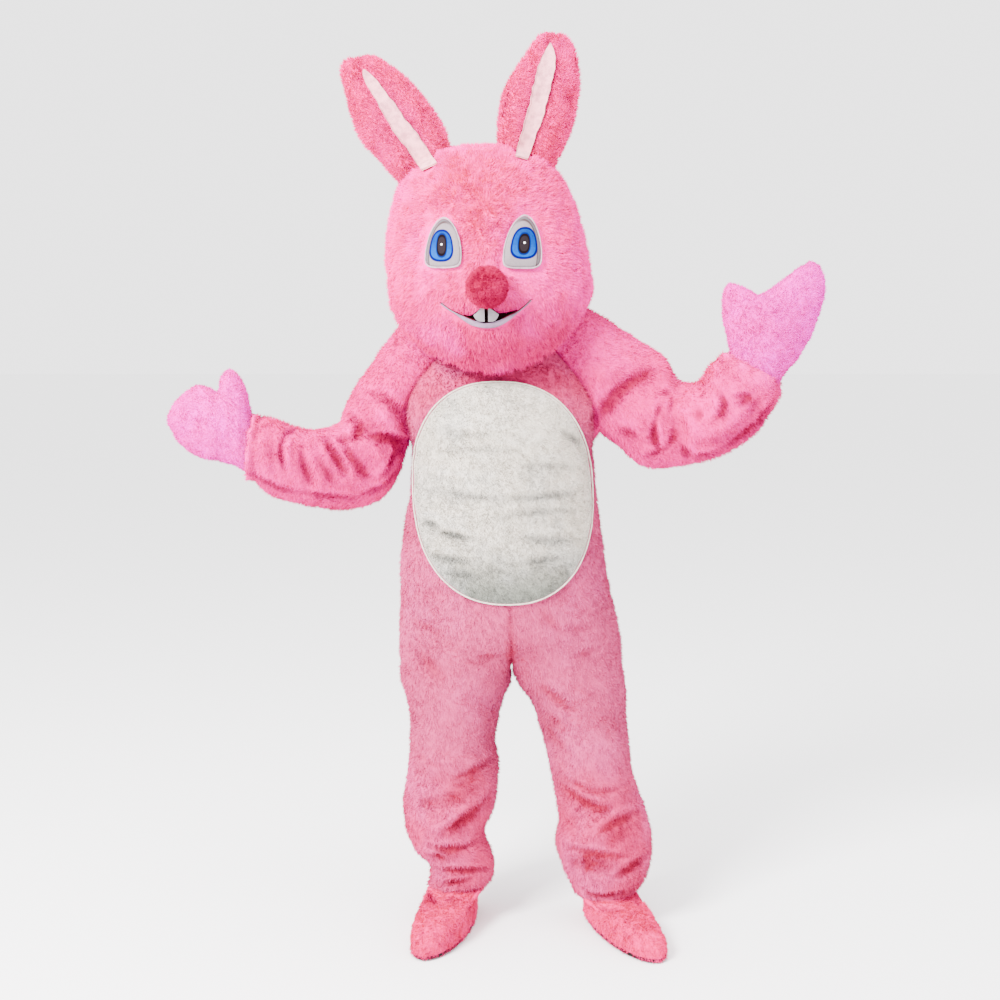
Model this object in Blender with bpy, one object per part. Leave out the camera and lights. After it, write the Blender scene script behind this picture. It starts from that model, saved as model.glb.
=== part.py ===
"""Rabbit mascot costume: plush suit, head, mittens and foot covers, worn and hollow.

Metres, +Z up. The front faces -Y and the wearer's left is +X. Sizes are given as heights
above the floor, and the whole costume is then lowered by NECK_HEIGHT, so that the origin lies
between the shoulders, where the wearer carries it.
"""
import math

import bpy
import numpy as np
from mathutils import Vector
from mathutils.bvhtree import BVHTree

# Driving dimensions
NECK_HEIGHT = 1.36
PLUSH = 0.006
HEAD_WALL = 0.014
MITTEN_WALL = 0.005
SEAM_GAP = 0.0003
LIFT = 0.0009
RIGHT, LEFT = -1, 1
FRONT, BACK = -1, 1

# Heights that the cut is built on
CROTCH = 0.567
CROTCH_CURVE = 0.115
CROTCH_SOFT_DROP = 0.17
CROTCH_SOFT_SHARE = 0.45
ARMPIT = 1.085
NECK_CORNER = 1.385
NECK_FRONT = 1.32
NECK_BACK = 1.40
HEM = {RIGHT: 0.080, LEFT: 0.070}
RAGLAN_SWING = math.radians(52)
RAGLAN_POWER = 0.6
SEAM_FADE = 0.12
SHOULDER_MIDDLE = (0.0, 0.010, 1.240)
CAP_CURVE = 0.36

# Rows and columns of the panels
LEG_ROWS, CURVE_ROWS, TRUNK_ROWS, YOKE_ROWS = 11, 4, 7, 8
PANEL_COLUMNS = {FRONT: 9, BACK: 7}
NECK_COLUMNS = 4
SLEEVE_COLUMNS = 2 * YOKE_ROWS + NECK_COLUMNS
CAP_RINGS = 4
ARM_RINGS = 12
HEAD_COLUMNS = {FRONT: 20, BACK: 12}
HEAD_ROWS = 15


def table(columns, *rows):
    """A table as one array for each named column."""
    return dict(zip(columns.split(), np.array(rows, float).T))


# Sections of the trunk: the side seams, the centre seam, the front and the back
TRUNK = table(
    "height right left seam front back",
    (0.567, -0.229, 0.280, 0.0265, -0.150, 0.170),
    (0.645, -0.230, 0.272, 0.0240, -0.168, 0.176),
    (0.730, -0.227, 0.254, 0.0210, -0.178, 0.166),
    (0.815, -0.224, 0.238, 0.0160, -0.182, 0.150),
    (0.883, -0.219, 0.230, 0.0120, -0.180, 0.142),
    (0.951, -0.206, 0.220, 0.0080, -0.176, 0.140),
    (1.019, -0.200, 0.214, 0.0050, -0.171, 0.143),
    (1.085, -0.200, 0.210, 0.0020, -0.165, 0.148),
    (1.135, -0.222, 0.222, 0.0000, -0.158, 0.153),
    (1.190, -0.226, 0.222, 0.0000, -0.146, 0.150),
    (1.240, -0.206, 0.202, 0.0000, -0.125, 0.137),
    (1.285, -0.172, 0.166, 0.0000, -0.100, 0.116),
    (1.330, -0.130, 0.126, 0.0000, -0.080, 0.094),
    (1.385, -0.090, 0.088, 0.0000, -0.064, 0.078),
    (1.420, -0.080, 0.080, 0.0000, -0.060, 0.072),
)

# Sections of the legs: outer and inner edge, the middle from front to back, half the depth
LEG = {
    RIGHT: table(
        "height outer inner middle half_depth",
        (0.080, -0.166, -0.026, -0.052, 0.070),
        (0.100, -0.159, -0.013, -0.052, 0.073),
        (0.127, -0.163, -0.011, -0.048, 0.080),
        (0.157, -0.193, -0.022, -0.043, 0.092),
        (0.195, -0.213, -0.034, -0.036, 0.100),
        (0.244, -0.222, -0.014, -0.028, 0.108),
        (0.300, -0.216, -0.006, -0.020, 0.108),
        (0.350, -0.210, -0.002, -0.014, 0.108),
        (0.410, -0.207, -0.010, -0.008, 0.112),
        (0.448, -0.206, -0.002, -0.004, 0.118),
        (0.500, -0.212, 0.010, 0.000, 0.134),
        (0.545, -0.225, 0.022, 0.000, 0.150),
        (0.567, -0.229, 0.0265, 0.000, 0.155),
    ),
    LEFT: table(
        "height outer inner middle half_depth",
        (0.070, 0.312, 0.165, -0.075, 0.074),
        (0.102, 0.330, 0.151, -0.072, 0.088),
        (0.146, 0.343, 0.133, -0.062, 0.102),
        (0.182, 0.345, 0.123, -0.054, 0.110),
        (0.224, 0.340, 0.132, -0.046, 0.112),
        (0.285, 0.320, 0.125, -0.034, 0.108),
        (0.334, 0.303, 0.114, -0.024, 0.106),
        (0.410, 0.293, 0.098, -0.012, 0.112),
        (0.445, 0.292, 0.086, -0.006, 0.118),
        (0.500, 0.288, 0.066, 0.000, 0.134),
        (0.545, 0.284, 0.041, 0.000, 0.150),
        (0.567, 0.280, 0.0265, 0.000, 0.155),
    ),
}

# Rings of the sleeves: upper and lower edge, the middle from front to back, half the depth
ARM = {
    RIGHT: table(
        "top_x top_z low_x low_z middle half_depth",
        (-0.295, 1.248, -0.216, 1.042, 0.005, 0.098),
        (-0.329, 1.199, -0.230, 1.001, 0.005, 0.102),
        (-0.351, 1.155, -0.270, 0.952, -0.005, 0.102),
        (-0.361, 1.129, -0.347, 0.932, -0.030, 0.095),
        (-0.402, 1.116, -0.404, 0.942, -0.060, 0.086),
        (-0.440, 1.122, -0.453, 0.956, -0.080, 0.080),
        (-0.479, 1.139, -0.497, 0.971, -0.100, 0.074),
        (-0.518, 1.151, -0.533, 1.004, -0.120, 0.064),
        (-0.534, 1.154, -0.553, 1.016, -0.128, 0.058),
    ),
    LEFT: table(
        "top_x top_z low_x low_z middle half_depth",
        (0.272, 1.335, 0.225, 1.103, 0.005, 0.105),
        (0.324, 1.302, 0.265, 1.071, 0.000, 0.105),
        (0.366, 1.275, 0.314, 1.031, -0.010, 0.102),
        (0.394, 1.229, 0.369, 1.026, -0.020, 0.095),
        (0.417, 1.219, 0.423, 1.037, -0.040, 0.090),
        (0.441, 1.224, 0.476, 1.052, -0.060, 0.085),
        (0.454, 1.251, 0.533, 1.084, -0.080, 0.080),
        (0.471, 1.272, 0.580, 1.132, -0.100, 0.070),
        (0.488, 1.288, 0.617, 1.218, -0.118, 0.058),
    ),
}

# Rings of the mittens past the cuff, on the same plan
MITTEN = {
    RIGHT: table(
        "top_x top_z low_x low_z middle half_depth",
        (-0.548, 1.206, -0.573, 1.039, -0.138, 0.052),
        (-0.561, 1.236, -0.580, 1.041, -0.140, 0.050),
        (-0.583, 1.254, -0.592, 1.044, -0.142, 0.048),
        (-0.601, 1.239, -0.606, 1.048, -0.143, 0.046),
        (-0.609, 1.206, -0.616, 1.050, -0.144, 0.044),
        (-0.629, 1.215, -0.636, 1.054, -0.146, 0.042),
        (-0.655, 1.219, -0.660, 1.063, -0.147, 0.038),
        (-0.683, 1.202, -0.684, 1.080, -0.148, 0.032),
        (-0.705, 1.180, -0.703, 1.104, -0.149, 0.022),
        (-0.714, 1.158, -0.713, 1.130, -0.150, 0.008),
    ),
    LEFT: table(
        "top_x top_z low_x low_z middle half_depth",
        (0.481, 1.346, 0.645, 1.270, -0.128, 0.052),
        (0.478, 1.389, 0.655, 1.289, -0.130, 0.050),
        (0.480, 1.421, 0.664, 1.306, -0.131, 0.048),
        (0.497, 1.438, 0.673, 1.325, -0.132, 0.046),
        (0.534, 1.419, 0.684, 1.352, -0.133, 0.044),
        (0.553, 1.408, 0.690, 1.374, -0.134, 0.042),
        (0.580, 1.425, 0.696, 1.393, -0.135, 0.040),
        (0.609, 1.447, 0.700, 1.421, -0.136, 0.034),
        (0.639, 1.472, 0.697, 1.449, -0.137, 0.024),
        (0.660, 1.482, 0.688, 1.467, -0.138, 0.009),
    ),
}

# Sections of the head from the crown down to the closing under the chin. The cheeks and the
# chin sit forward of the shoulders, so the widest line of the sections (middle) moves forward.
HEAD = table(
    "height right left front middle back",
    (1.742, -0.045, -0.035, -0.015, -0.010, -0.005),
    (1.738, -0.098, 0.020, -0.065, -0.010, 0.060),
    (1.724, -0.146, 0.070, -0.108, -0.010, 0.102),
    (1.698, -0.186, 0.114, -0.143, -0.010, 0.134),
    (1.651, -0.224, 0.148, -0.180, -0.010, 0.164),
    (1.597, -0.240, 0.169, -0.205, -0.015, 0.180),
    (1.517, -0.250, 0.190, -0.226, -0.025, 0.182),
    (1.432, -0.245, 0.204, -0.242, -0.045, 0.168),
    (1.386, -0.236, 0.187, -0.247, -0.062, 0.150),
    (1.343, -0.218, 0.162, -0.242, -0.080, 0.128),
    (1.290, -0.166, 0.122, -0.212, -0.100, 0.090),
    (1.252, -0.100, 0.062, -0.168, -0.110, 0.040),
    (1.238, -0.030, -0.010, -0.120, -0.110, -0.060),
)
HEAD_RIM = {FRONT: 10.9, "side": 8.04, BACK: 7.6, "power": 0.6}
HEAD_PIECES = ("head", "ear", "eye", "nose", "mouth", "tooth")
HEAD_DROP = 0.0048

# Soft forms of the face: place, reach across and up, and how far they stand out
FACE = table(
    "x z wide high out",
    (-0.066, 1.405, 0.042, 0.030, 0.012),
    (0.010, 1.407, 0.042, 0.030, 0.012),
    (-0.027, 1.325, 0.060, 0.026, 0.008),
    (-0.120, 1.520, 0.045, 0.055, -0.006),
    (0.048, 1.522, 0.045, 0.055, -0.006),
)
NOSE_X, NOSE_Z, NOSE_RADIUS, NOSE_STAND = -0.027, 1.430, 0.0445, 0.72
NOSE_RINGS, NOSE_SPOKES = 7, 16
EYE = table(
    "side x low_z half_width height lean lift",
    (RIGHT, -0.120, 1.474, 0.0365, 0.100, 0.02, 0.0011),
    (LEFT, 0.045, 1.472, 0.0385, 0.107, 0.06, 0.0018),
)
EYE_WAIST, EYE_CORNER = 0.24, 0.5
EYE_SPOKES, EYE_RINGS = 18, 3
EYE_EDGE, EYE_CROWN = 0.003, 0.009
EYE_RIM, EYE_RIM_GAP = 0.0055, 0.0006
RIM_THICK = (0.005, 0.003)
MOUTH = table(
    "x lip_low lip_high gap_high",
    (-0.123, 1.395, 1.398, 1.398),
    (-0.098, 1.373, 1.382, 1.382),
    (-0.079, 1.361, 1.373, 1.373),
    (-0.063, 1.353, 1.366, 1.368),
    (-0.046, 1.349, 1.360, 1.376),
    (-0.029, 1.347, 1.357, 1.391),
    (-0.004, 1.350, 1.362, 1.375),
    (0.017, 1.360, 1.372, 1.379),
    (0.033, 1.371, 1.380, 1.382),
    (0.050, 1.386, 1.393, 1.393),
    (0.064, 1.402, 1.405, 1.405),
)
MOUTH_STEPS = 14
LIP_THICK, MESH_THICK, MESH_LEAST, MESH_GAP = 0.004, 0.002, 0.006, 0.0005
TOOTH_WIDTH, TOOTH_HEIGHT, TOOTH_DEPTH, TOOTH_ROUND = 0.0225, 0.0285, 0.006, 0.003
TOOTH_X = {RIGHT: -0.0405, LEFT: -0.0155}
TOOTH_LOW_Z = 1.3595
FACE_LIFT, TOOTH_LIFT = 0.0018, 0.0065

# Sections of the ears from the root to the tip: outer and inner edge, half the thickness
EAR = {
    RIGHT: table(
        "outer_x outer_z inner_x inner_z thick",
        (-0.232, 1.668, -0.098, 1.722, 0.026),
        (-0.266, 1.710, -0.118, 1.770, 0.029),
        (-0.302, 1.754, -0.144, 1.810, 0.030),
        (-0.321, 1.800, -0.172, 1.848, 0.029),
        (-0.334, 1.850, -0.205, 1.884, 0.026),
        (-0.343, 1.890, -0.238, 1.910, 0.021),
        (-0.341, 1.914, -0.268, 1.927, 0.014),
        (-0.322, 1.926, -0.292, 1.932, 0.006),
    ),
    LEFT: table(
        "outer_x outer_z inner_x inner_z thick",
        (0.130, 1.700, -0.010, 1.736, 0.026),
        (0.148, 1.752, -0.005, 1.782, 0.029),
        (0.162, 1.805, 0.003, 1.830, 0.030),
        (0.169, 1.850, 0.014, 1.866, 0.029),
        (0.170, 1.892, 0.034, 1.902, 0.026),
        (0.165, 1.930, 0.060, 1.938, 0.021),
        (0.149, 1.962, 0.082, 1.970, 0.014),
        (0.130, 1.978, 0.101, 1.982, 0.006),
    ),
}
EAR_MIDDLE = -0.035
EAR_LEAN, EAR_LEAN_FROM = -0.06, 1.7
EAR_VALLEY, EAR_VALLEY_WIDTH = 0.62, 0.34
EAR_ROOT_DEPTH = 0.30
EAR_LIFT = 0.0022
EAR_COLUMNS = 8
EAR_RINGS = 11

# The pale strip on the ears: row of the ear, share across it and half the strip's share
STRIP = {
    RIGHT: table(
        "row share half",
        (0.40, 0.085, 0.185),
        (1.00, 0.060, 0.180),
        (2.00, 0.045, 0.165),
        (3.10, 0.010, 0.150),
        (4.00, -0.060, 0.140),
        (4.60, -0.070, 0.100),
        (4.95, -0.050, 0.025),
    ),
    LEFT: table(
        "row share half",
        (0.40, 0.120, 0.170),
        (0.80, 0.100, 0.170),
        (1.60, 0.040, 0.170),
        (2.70, 0.020, 0.175),
        (4.00, 0.040, 0.200),
        (4.90, 0.100, 0.200),
        (5.60, 0.150, 0.025),
    ),
}
STRIP_THICK = 0.003

# Belly patch: its middle, its reach and its cloth
PATCH_X, PATCH_Z = 0.006, 0.985
PATCH_HALF_WIDTH, PATCH_HALF_HEIGHT, PATCH_LEAN = 0.1945, 0.2395, -0.040
PATCH_POWER = 2.35
PATCH_THICK = 0.004
PATCH_MARGIN = 0.045
PATCH_CUT_FRONT, PATCH_CUT_BACK = -0.4, -0.02
WELT_RADIUS, WELT_SPOKES, WELT_SIDES = 0.0023, 48, 5
WELT_GAP, WELT_LIFT = 0.0012, 0.0018

# Closed zip behind the centre-back seam
ZIP_LOW, ZIP_HALF_WIDTH, ZIP_THICK = 0.75, 0.014, 0.002

# Foot covers
FOOT_TURN = {RIGHT: math.radians(14), LEFT: math.radians(20)}
FOOT_REACH, FOOT_FORWARD, FOOT_HALF_WIDTH = 0.190, 0.098, 0.054
SHAFT_ROWS = 3
FOOT_RINGS = table(
    "share rise",
    (0.02, 0.96),
    (0.20, 0.92),
    (0.45, 0.90),
    (0.68, 0.82),
    (0.88, 0.62),
    (0.98, 0.34),
    (1.00, 0.00),
)
SOLE_THICK = 0.010
SOLE_EDGE = 1.01

# The largest folds, seen square on: both ends, the bow of the middle, width and depth.
# They are pressed into the front (face -1) or the back (face 1).
FOLDS = table(
    "face x0 z0 x1 z1 bow width depth",
    (FRONT, -0.210, 0.352, -0.010, 0.372, -0.030, 0.018, 0.012),
    (FRONT, -0.140, 0.205, -0.030, 0.262, -0.006, 0.016, 0.012),
    (FRONT, -0.180, 0.158, -0.080, 0.148, 0.000, 0.012, 0.010),
    (FRONT, 0.120, 0.330, 0.305, 0.290, -0.040, 0.020, 0.012),
    (FRONT, 0.140, 0.150, 0.270, 0.140, 0.000, 0.014, 0.010),
    (FRONT, 0.195, 0.185, 0.290, 0.228, 0.000, 0.014, 0.010),
    (FRONT, -0.315, 1.190, -0.205, 1.085, -0.030, 0.018, 0.014),
    (FRONT, -0.375, 1.095, -0.340, 1.015, 0.010, 0.016, 0.012),
    (FRONT, -0.335, 1.085, -0.280, 0.990, 0.012, 0.016, 0.012),
    (FRONT, -0.420, 1.080, -0.415, 0.990, 0.008, 0.014, 0.008),
    (FRONT, 0.215, 1.125, 0.335, 1.245, 0.030, 0.018, 0.014),
    (FRONT, 0.345, 1.160, 0.385, 1.070, 0.020, 0.016, 0.014),
    (FRONT, 0.560, 1.190, 0.420, 1.085, -0.035, 0.014, 0.009),
    (BACK, -0.200, 0.340, -0.020, 0.365, -0.020, 0.018, 0.012),
    (BACK, -0.170, 0.190, -0.040, 0.215, 0.000, 0.016, 0.012),
    (BACK, 0.130, 0.325, 0.300, 0.300, -0.020, 0.018, 0.012),
    (BACK, 0.150, 0.170, 0.310, 0.190, 0.000, 0.016, 0.012),
    (BACK, -0.180, 0.560, -0.040, 0.600, -0.020, 0.020, 0.010),
    (BACK, 0.080, 0.600, 0.230, 0.560, -0.020, 0.020, 0.010),
    (BACK, -0.310, 1.180, -0.225, 1.090, -0.020, 0.018, 0.012),
    (BACK, 0.240, 1.130, 0.340, 1.230, 0.020, 0.018, 0.012),
    (BACK, -0.400, 1.090, -0.360, 0.990, 0.010, 0.016, 0.010),
    (BACK, 0.400, 1.170, 0.430, 1.080, 0.010, 0.016, 0.010),
)

# Colour, roughness of each material
FINISHES = {
    "plush_pink": ((0.90, 0.31, 0.45, 1.0), 0.95),
    "plush_hot_pink": ((1.00, 0.20, 0.36, 1.0), 0.95),
    "plush_red_pink": ((0.95, 0.02, 0.12, 1.0), 0.95),
    "plush_white": ((0.80, 0.77, 0.71, 1.0), 0.95),
    "strip_cream": ((0.86, 0.68, 0.66, 1.0), 0.90),
    "felt_white": ((0.82, 0.76, 0.80, 1.0), 0.90),
    "eye_enamel": ((0.50, 0.46, 0.48, 1.0), 0.35),
    "lip_lilac": ((0.72, 0.62, 0.74, 1.0), 0.60),
    "mesh_dark": ((0.02, 0.012, 0.014, 1.0), 0.80),
    "tooth": ((0.66, 0.64, 0.62, 1.0), 0.40),
    "zip_tape": ((0.80, 0.30, 0.42, 1.0), 0.80),
    "sole_dark": ((0.07, 0.05, 0.05, 1.0), 0.85),
}


def side_word(side):
    return "left" if side == LEFT else "right"


def unit(vectors):
    length = np.linalg.norm(vectors, axis=-1, keepdims=True)
    return vectors / np.maximum(length, 1e-12)


def smooth(rows, key, column, at):
    """Cubic curve through a column, with each row's slope taken from its neighbours."""
    known, values = rows[key], rows[column]
    at = np.clip(at, known[0], known[-1]) if known[0] < known[-1] else at
    slopes = np.gradient(values, known)
    index = np.clip(np.searchsorted(known, at, side="right") - 1, 0, len(known) - 2)
    span = known[index + 1] - known[index]
    t = (at - known[index]) / span
    rise = values[index] * (2 * t**3 - 3 * t**2 + 1) + values[index + 1] * (3 * t**2 - 2 * t**3)
    lean = slopes[index] * (t**3 - 2 * t**2 + t) + slopes[index + 1] * (t**3 - t**2)
    return rise + lean * span


def along(rows, column, at):
    """The same curve, read by row number."""
    numbered = {"row": np.arange(len(rows[column]), dtype=float), column: rows[column]}
    return smooth(numbered, "row", column, at)


def grid_normals(points, wrapped):
    """Normals of a grid of points, from the differences along its rows and columns."""
    down = np.gradient(points, axis=0)
    if wrapped:
        across = (np.roll(points, -1, axis=1) - np.roll(points, 1, axis=1)) / 2
    else:
        across = np.gradient(points, axis=1)
    return unit(np.cross(across, down))


def fold_depth(points, normals):
    """How far the folds press in: a soft trough, with a lower roll on its upper side."""
    total = np.zeros(points.shape[:-1])
    steps = np.linspace(0, 1, 13)
    for face, x0, z0, x1, z1, bow, width, depth in zip(*FOLDS.values()):
        path_x = x0 + (x1 - x0) * steps
        path_z = z0 + (z1 - z0) * steps + bow * 4 * steps * (1 - steps)
        across_x = points[..., 0, None] - path_x
        across_z = points[..., 2, None] - path_z
        reach = np.hypot(across_x, across_z)
        nearest = reach.argmin(axis=-1)
        distance = reach.min(axis=-1)
        above = np.take_along_axis(across_z, nearest[..., None], -1)[..., 0]
        fade = 1 - (2 * steps[nearest] - 1) ** 4
        facing = np.clip(face * normals[..., 1] * 2, 0, 1)
        trough = np.exp(-((distance / width) ** 2))
        roll = np.exp(-(((distance - 2 * width) / width) ** 2)) * (above > 0)
        total += facing * fade * depth * (trough - 0.5 * roll)
    return total


def folded(points, wrapped, outward, fade=1.0):
    """The points with the folds pressed in, as far as fade lets them."""
    normals = grid_normals(points, wrapped) * outward
    return points - normals * (fade * fold_depth(points, normals))[..., None]


# The suit's surface

def trunk_edge(side, height):
    """The side seam, which runs on down the leg."""
    above = smooth(TRUNK, "height", "left" if side == LEFT else "right", height)
    return np.where(height < CROTCH, smooth(LEG[side], "height", "outer", height), above)


def raglan_angle(height):
    """Angle from the centre seam to the panel's outer edge: the side seam, then the raglan."""
    rise = np.clip((height - ARMPIT) / (NECK_CORNER - ARMPIT), 0, 1)
    return math.pi / 2 - RAGLAN_SWING * rise**RAGLAN_POWER


def trunk_at(side, face, angle, height):
    """Point of the trunk's oval section, from the centre seam (0) to the side (90 degrees)."""
    seam = smooth(TRUNK, "height", "seam", height)
    half = np.abs(trunk_edge(side, height) - seam)
    depth = np.abs(smooth(TRUNK, "height", "front" if face == FRONT else "back", height))
    x = seam + side * half * np.sin(angle)
    return np.stack([x, face * depth * np.cos(angle), height + 0 * x], axis=-1)


def leg_at(side, face, share, height):
    """Point of a leg's oval section, from the inseam (0) to the side seam (1)."""
    rows = LEG[side]
    angle = math.pi * (share - 0.5)
    outer = trunk_edge(side, height)
    seam = smooth(TRUNK, "height", "seam", height)
    inner = np.where(height > CROTCH, seam, smooth(rows, "height", "inner", height))
    x = (outer + inner) / 2 + (outer - inner) / 2 * np.sin(angle)
    depth = smooth(rows, "height", "half_depth", height)
    y = smooth(rows, "height", "middle", height) + face * depth * np.cos(angle)
    return np.stack([x, y, height + 0 * x], axis=-1)


def suit_at(side, face, share, height):
    """The suit's surface: a leg, the quarter-round crotch curve, and the trunk above it.

    Away from the centre seam the leg turns into the trunk over a longer, softer stretch.
    """
    away = np.clip(share / CROTCH_SOFT_SHARE, 0, 1)
    low = CROTCH - CROTCH_SOFT_DROP * away
    rise = np.clip((height - low) / (CROTCH + CROTCH_CURVE - low), 0, 1)
    curve, soft = np.sqrt(rise * (2 - rise)), rise * rise * (3 - 2 * rise)
    trunk_share = ((1 - away) * curve + away * soft)[..., None]
    trunk = trunk_at(side, face, share * raglan_angle(height), height)
    return trunk_share * trunk + (1 - trunk_share) * leg_at(side, face, share, height)


def yoke_rise():
    """Shares of the way up the raglan, closer together near the armpit."""
    return (np.arange(1, YOKE_ROWS + 1) / YOKE_ROWS) ** 1.5


def panel_grid(side, face):
    """Rows from the hem to the neck, columns from the centre seam to the side or raglan."""
    share = np.linspace(0, 1, PANEL_COLUMNS[face] + 1)
    leg = HEM[side] + (CROTCH - HEM[side]) * np.linspace(0, 1, LEG_ROWS + 1) ** 1.15
    curve = CROTCH + CROTCH_CURVE * (1 - np.cos(np.linspace(0, math.pi / 2, CURVE_ROWS + 1)[1:]))
    trunk = np.linspace(CROTCH + CROTCH_CURVE, ARMPIT, TRUNK_ROWS + 1)[1:]
    lower = np.concatenate([leg, curve, trunk])[:, None] + 0 * share
    middle = NECK_FRONT if face == FRONT else NECK_BACK
    rim = middle + (NECK_CORNER - middle) * share**2
    upper = ARMPIT + yoke_rise()[:, None] * (rim - ARMPIT)
    points = suit_at(side, face, share + 0 * lower, lower)
    yoke = suit_at(side, face, share + 0 * upper, upper)
    fade = np.clip(np.minimum(share, 1 - share) / SEAM_FADE, 0, 1)
    return folded(np.concatenate([points, yoke]), False, -side * face, fade)


# The sleeves

def raglan_loop(side):
    """The sleeve's seam with the suit: up the front raglan, over the neck, down the back."""
    rise = np.concatenate([[0], yoke_rise()])
    heights = ARMPIT + rise * (NECK_CORNER - ARMPIT)
    edge = {face: suit_at(side, face, 1 + 0 * heights, heights) for face in (FRONT, BACK)}
    corner = math.pi / 2 - RAGLAN_SWING
    steps = np.linspace(0, 1, NECK_COLUMNS + 1)[1:-1]
    angle = corner + (math.pi - 2 * corner) * steps
    top = NECK_CORNER + 0 * steps
    front, back = trunk_at(side, FRONT, angle, top), trunk_at(side, BACK, math.pi - angle, top)
    neck = np.where((angle <= math.pi / 2)[:, None], front, back)
    return np.concatenate([edge[FRONT], neck, edge[BACK][:0:-1]])


def ring_at(rows, row, share):
    """Oval ring between its lower edge (share 0) and upper edge (0.5), by way of the front."""
    top = np.stack([along(rows, "top_x", row), along(rows, "top_z", row)], -1)
    low = np.stack([along(rows, "low_x", row), along(rows, "low_z", row)], -1)
    turn = 2 * math.pi * share
    flat = (top + low) / 2 - (top - low) / 2 * np.cos(turn)[..., None]
    y = along(rows, "middle", row) - along(rows, "half_depth", row) * np.sin(turn)
    return np.stack([flat[..., 0], y, flat[..., 1]], axis=-1)


def sleeve_grid(side):
    """Rings from the raglan seam, over the shoulder, along the arm to the cuff."""
    rows = ARM[side]
    share = np.arange(SLEEVE_COLUMNS) / SLEEVE_COLUMNS
    seam = raglan_loop(side)
    last = len(rows["middle"]) - 1
    first_ring = ring_at(rows, 0 * share, share)
    onward = unit(ring_at(rows, 0.2 + 0 * share, share) - first_ring)
    reach = np.linalg.norm(first_ring - seam, axis=-1, keepdims=True)
    straight = (first_ring - seam) / reach
    away = unit(seam - np.array(SHOULDER_MIDDLE)) + np.array([side * 0.4, 0, 0])
    level = 0.5 * (1 - np.cos(2 * math.pi * share))[:, None]
    leaving = unit(level * unit(away) + (1.2 - level) * straight)
    control_1 = seam + leaving * reach * CAP_CURVE
    control_2 = first_ring - onward * reach * CAP_CURVE
    rings = []
    for step in np.linspace(0, 1, CAP_RINGS + 1)[:-1]:
        rest = 1 - step
        ring = rest**3 * seam + 3 * rest**2 * step * control_1
        rings.append(ring + 3 * rest * step**2 * control_2 + step**3 * first_ring)
    for row in np.linspace(0, last, ARM_RINGS + 1):
        rings.append(ring_at(rows, row + 0 * share, share))
    points = folded(np.array(rings), True, -side)
    points[0] = seam
    return points


# Walls and solids

class Sheet:
    """A cloth wall: a grid of outer points, their normals, and the shift that opens a seam."""

    def __init__(self, points, outward, wrapped=False, thick=PLUSH):
        self.points = points
        self.wrapped = wrapped
        self.thick = thick
        self.normals = grid_normals(points, wrapped) * outward
        self.shift = np.zeros_like(points)

    def outer(self):
        return self.points + self.shift

    def inner(self):
        return self.outer() - self.normals * self.thick


def join_edges(first, second, edge_1, next_1, edge_2, next_2):
    """Gives two sheets the same normals on their shared edge, and parts them by the seam gap.

    edge and next are index lists into the grids: the edge's points, and the points behind them.
    """
    points = first.points[edge_1]
    common = unit(first.normals[edge_1] + second.normals[edge_2])
    run = np.gradient(points, axis=0)
    across = unit(np.cross(run, common))
    apart = first.points[next_1] - second.points[next_2]
    way = np.sign((across * apart).sum(axis=-1, keepdims=True))
    first.normals[edge_1] = common
    second.normals[edge_2] = common
    first.shift[edge_1] += across * way * SEAM_GAP / 2
    second.shift[edge_2] -= across * way * SEAM_GAP / 2


def column_edge(rows, column, behind):
    """Index lists of a column's points and of those beside them."""
    return (rows, np.full(len(rows), column)), (rows, np.full(len(rows), behind))


def wall_faces(rows, columns, wrapped, points):
    """Triangles between the outer grid, numbered first, and the inner grid after it.

    A cell is cut along the diagonal that climbs away from the centre line, and an edge strip from
    the outer point of its lower corner, so that walls that lie face to face are cut alike.
    """
    offset = rows * columns
    number = np.arange(offset).reshape(rows, columns)
    if wrapped:
        number = np.concatenate([number, number[:, :1]], axis=1)
    a, b = number[:-1, :-1].ravel(), number[:-1, 1:].ravel()
    c, d = number[1:, 1:].ravel(), number[1:, :-1].ravel()
    aside, height = np.abs(points[:, 0]), points[:, 2]
    climb = (aside[c] - aside[a]) * (height[c] - height[a])
    other = (aside[d] - aside[b]) * (height[d] - height[b])
    last = np.where(climb > other, c, d)
    first = np.where(climb > other, a, b)
    outer = np.concatenate([np.stack([a, b, last], -1), np.stack([first, c, d], -1)])
    faces = [outer, outer[:, ::-1] + offset]
    edges = [(number[0, 1:], number[0, :-1]), (number[-1, :-1], number[-1, 1:])]
    if not wrapped:
        edges += [(number[:-1, 0], number[1:, 0]), (number[1:, -1], number[:-1, -1])]
    for start, end in edges:
        low = points[start, 2] < points[end, 2]
        far, near = start + offset, end + offset
        one, two = np.where(low, near, far), np.where(low, start, end)
        faces += [np.stack([start, end, one], -1), np.stack([two, near, far], -1)]
    return np.concatenate(faces).tolist()


def material(name):
    """Principled material of one finish."""
    found = bpy.data.materials.get(name)
    if found:
        return found
    made = bpy.data.materials.new(name)
    made.use_nodes = True
    colour, roughness = FINISHES[name]
    shader = made.node_tree.nodes["Principled BSDF"]
    shader.inputs["Base Color"].default_value = colour
    shader.inputs["Roughness"].default_value = roughness
    shader.inputs["Metallic"].default_value = 0.0
    return made


def lowering(name):
    """How far a piece is lowered: to the origin, and the head also down to its seat."""
    return NECK_HEIGHT + (HEAD_DROP if name.startswith(HEAD_PIECES) else 0.0)


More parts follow.
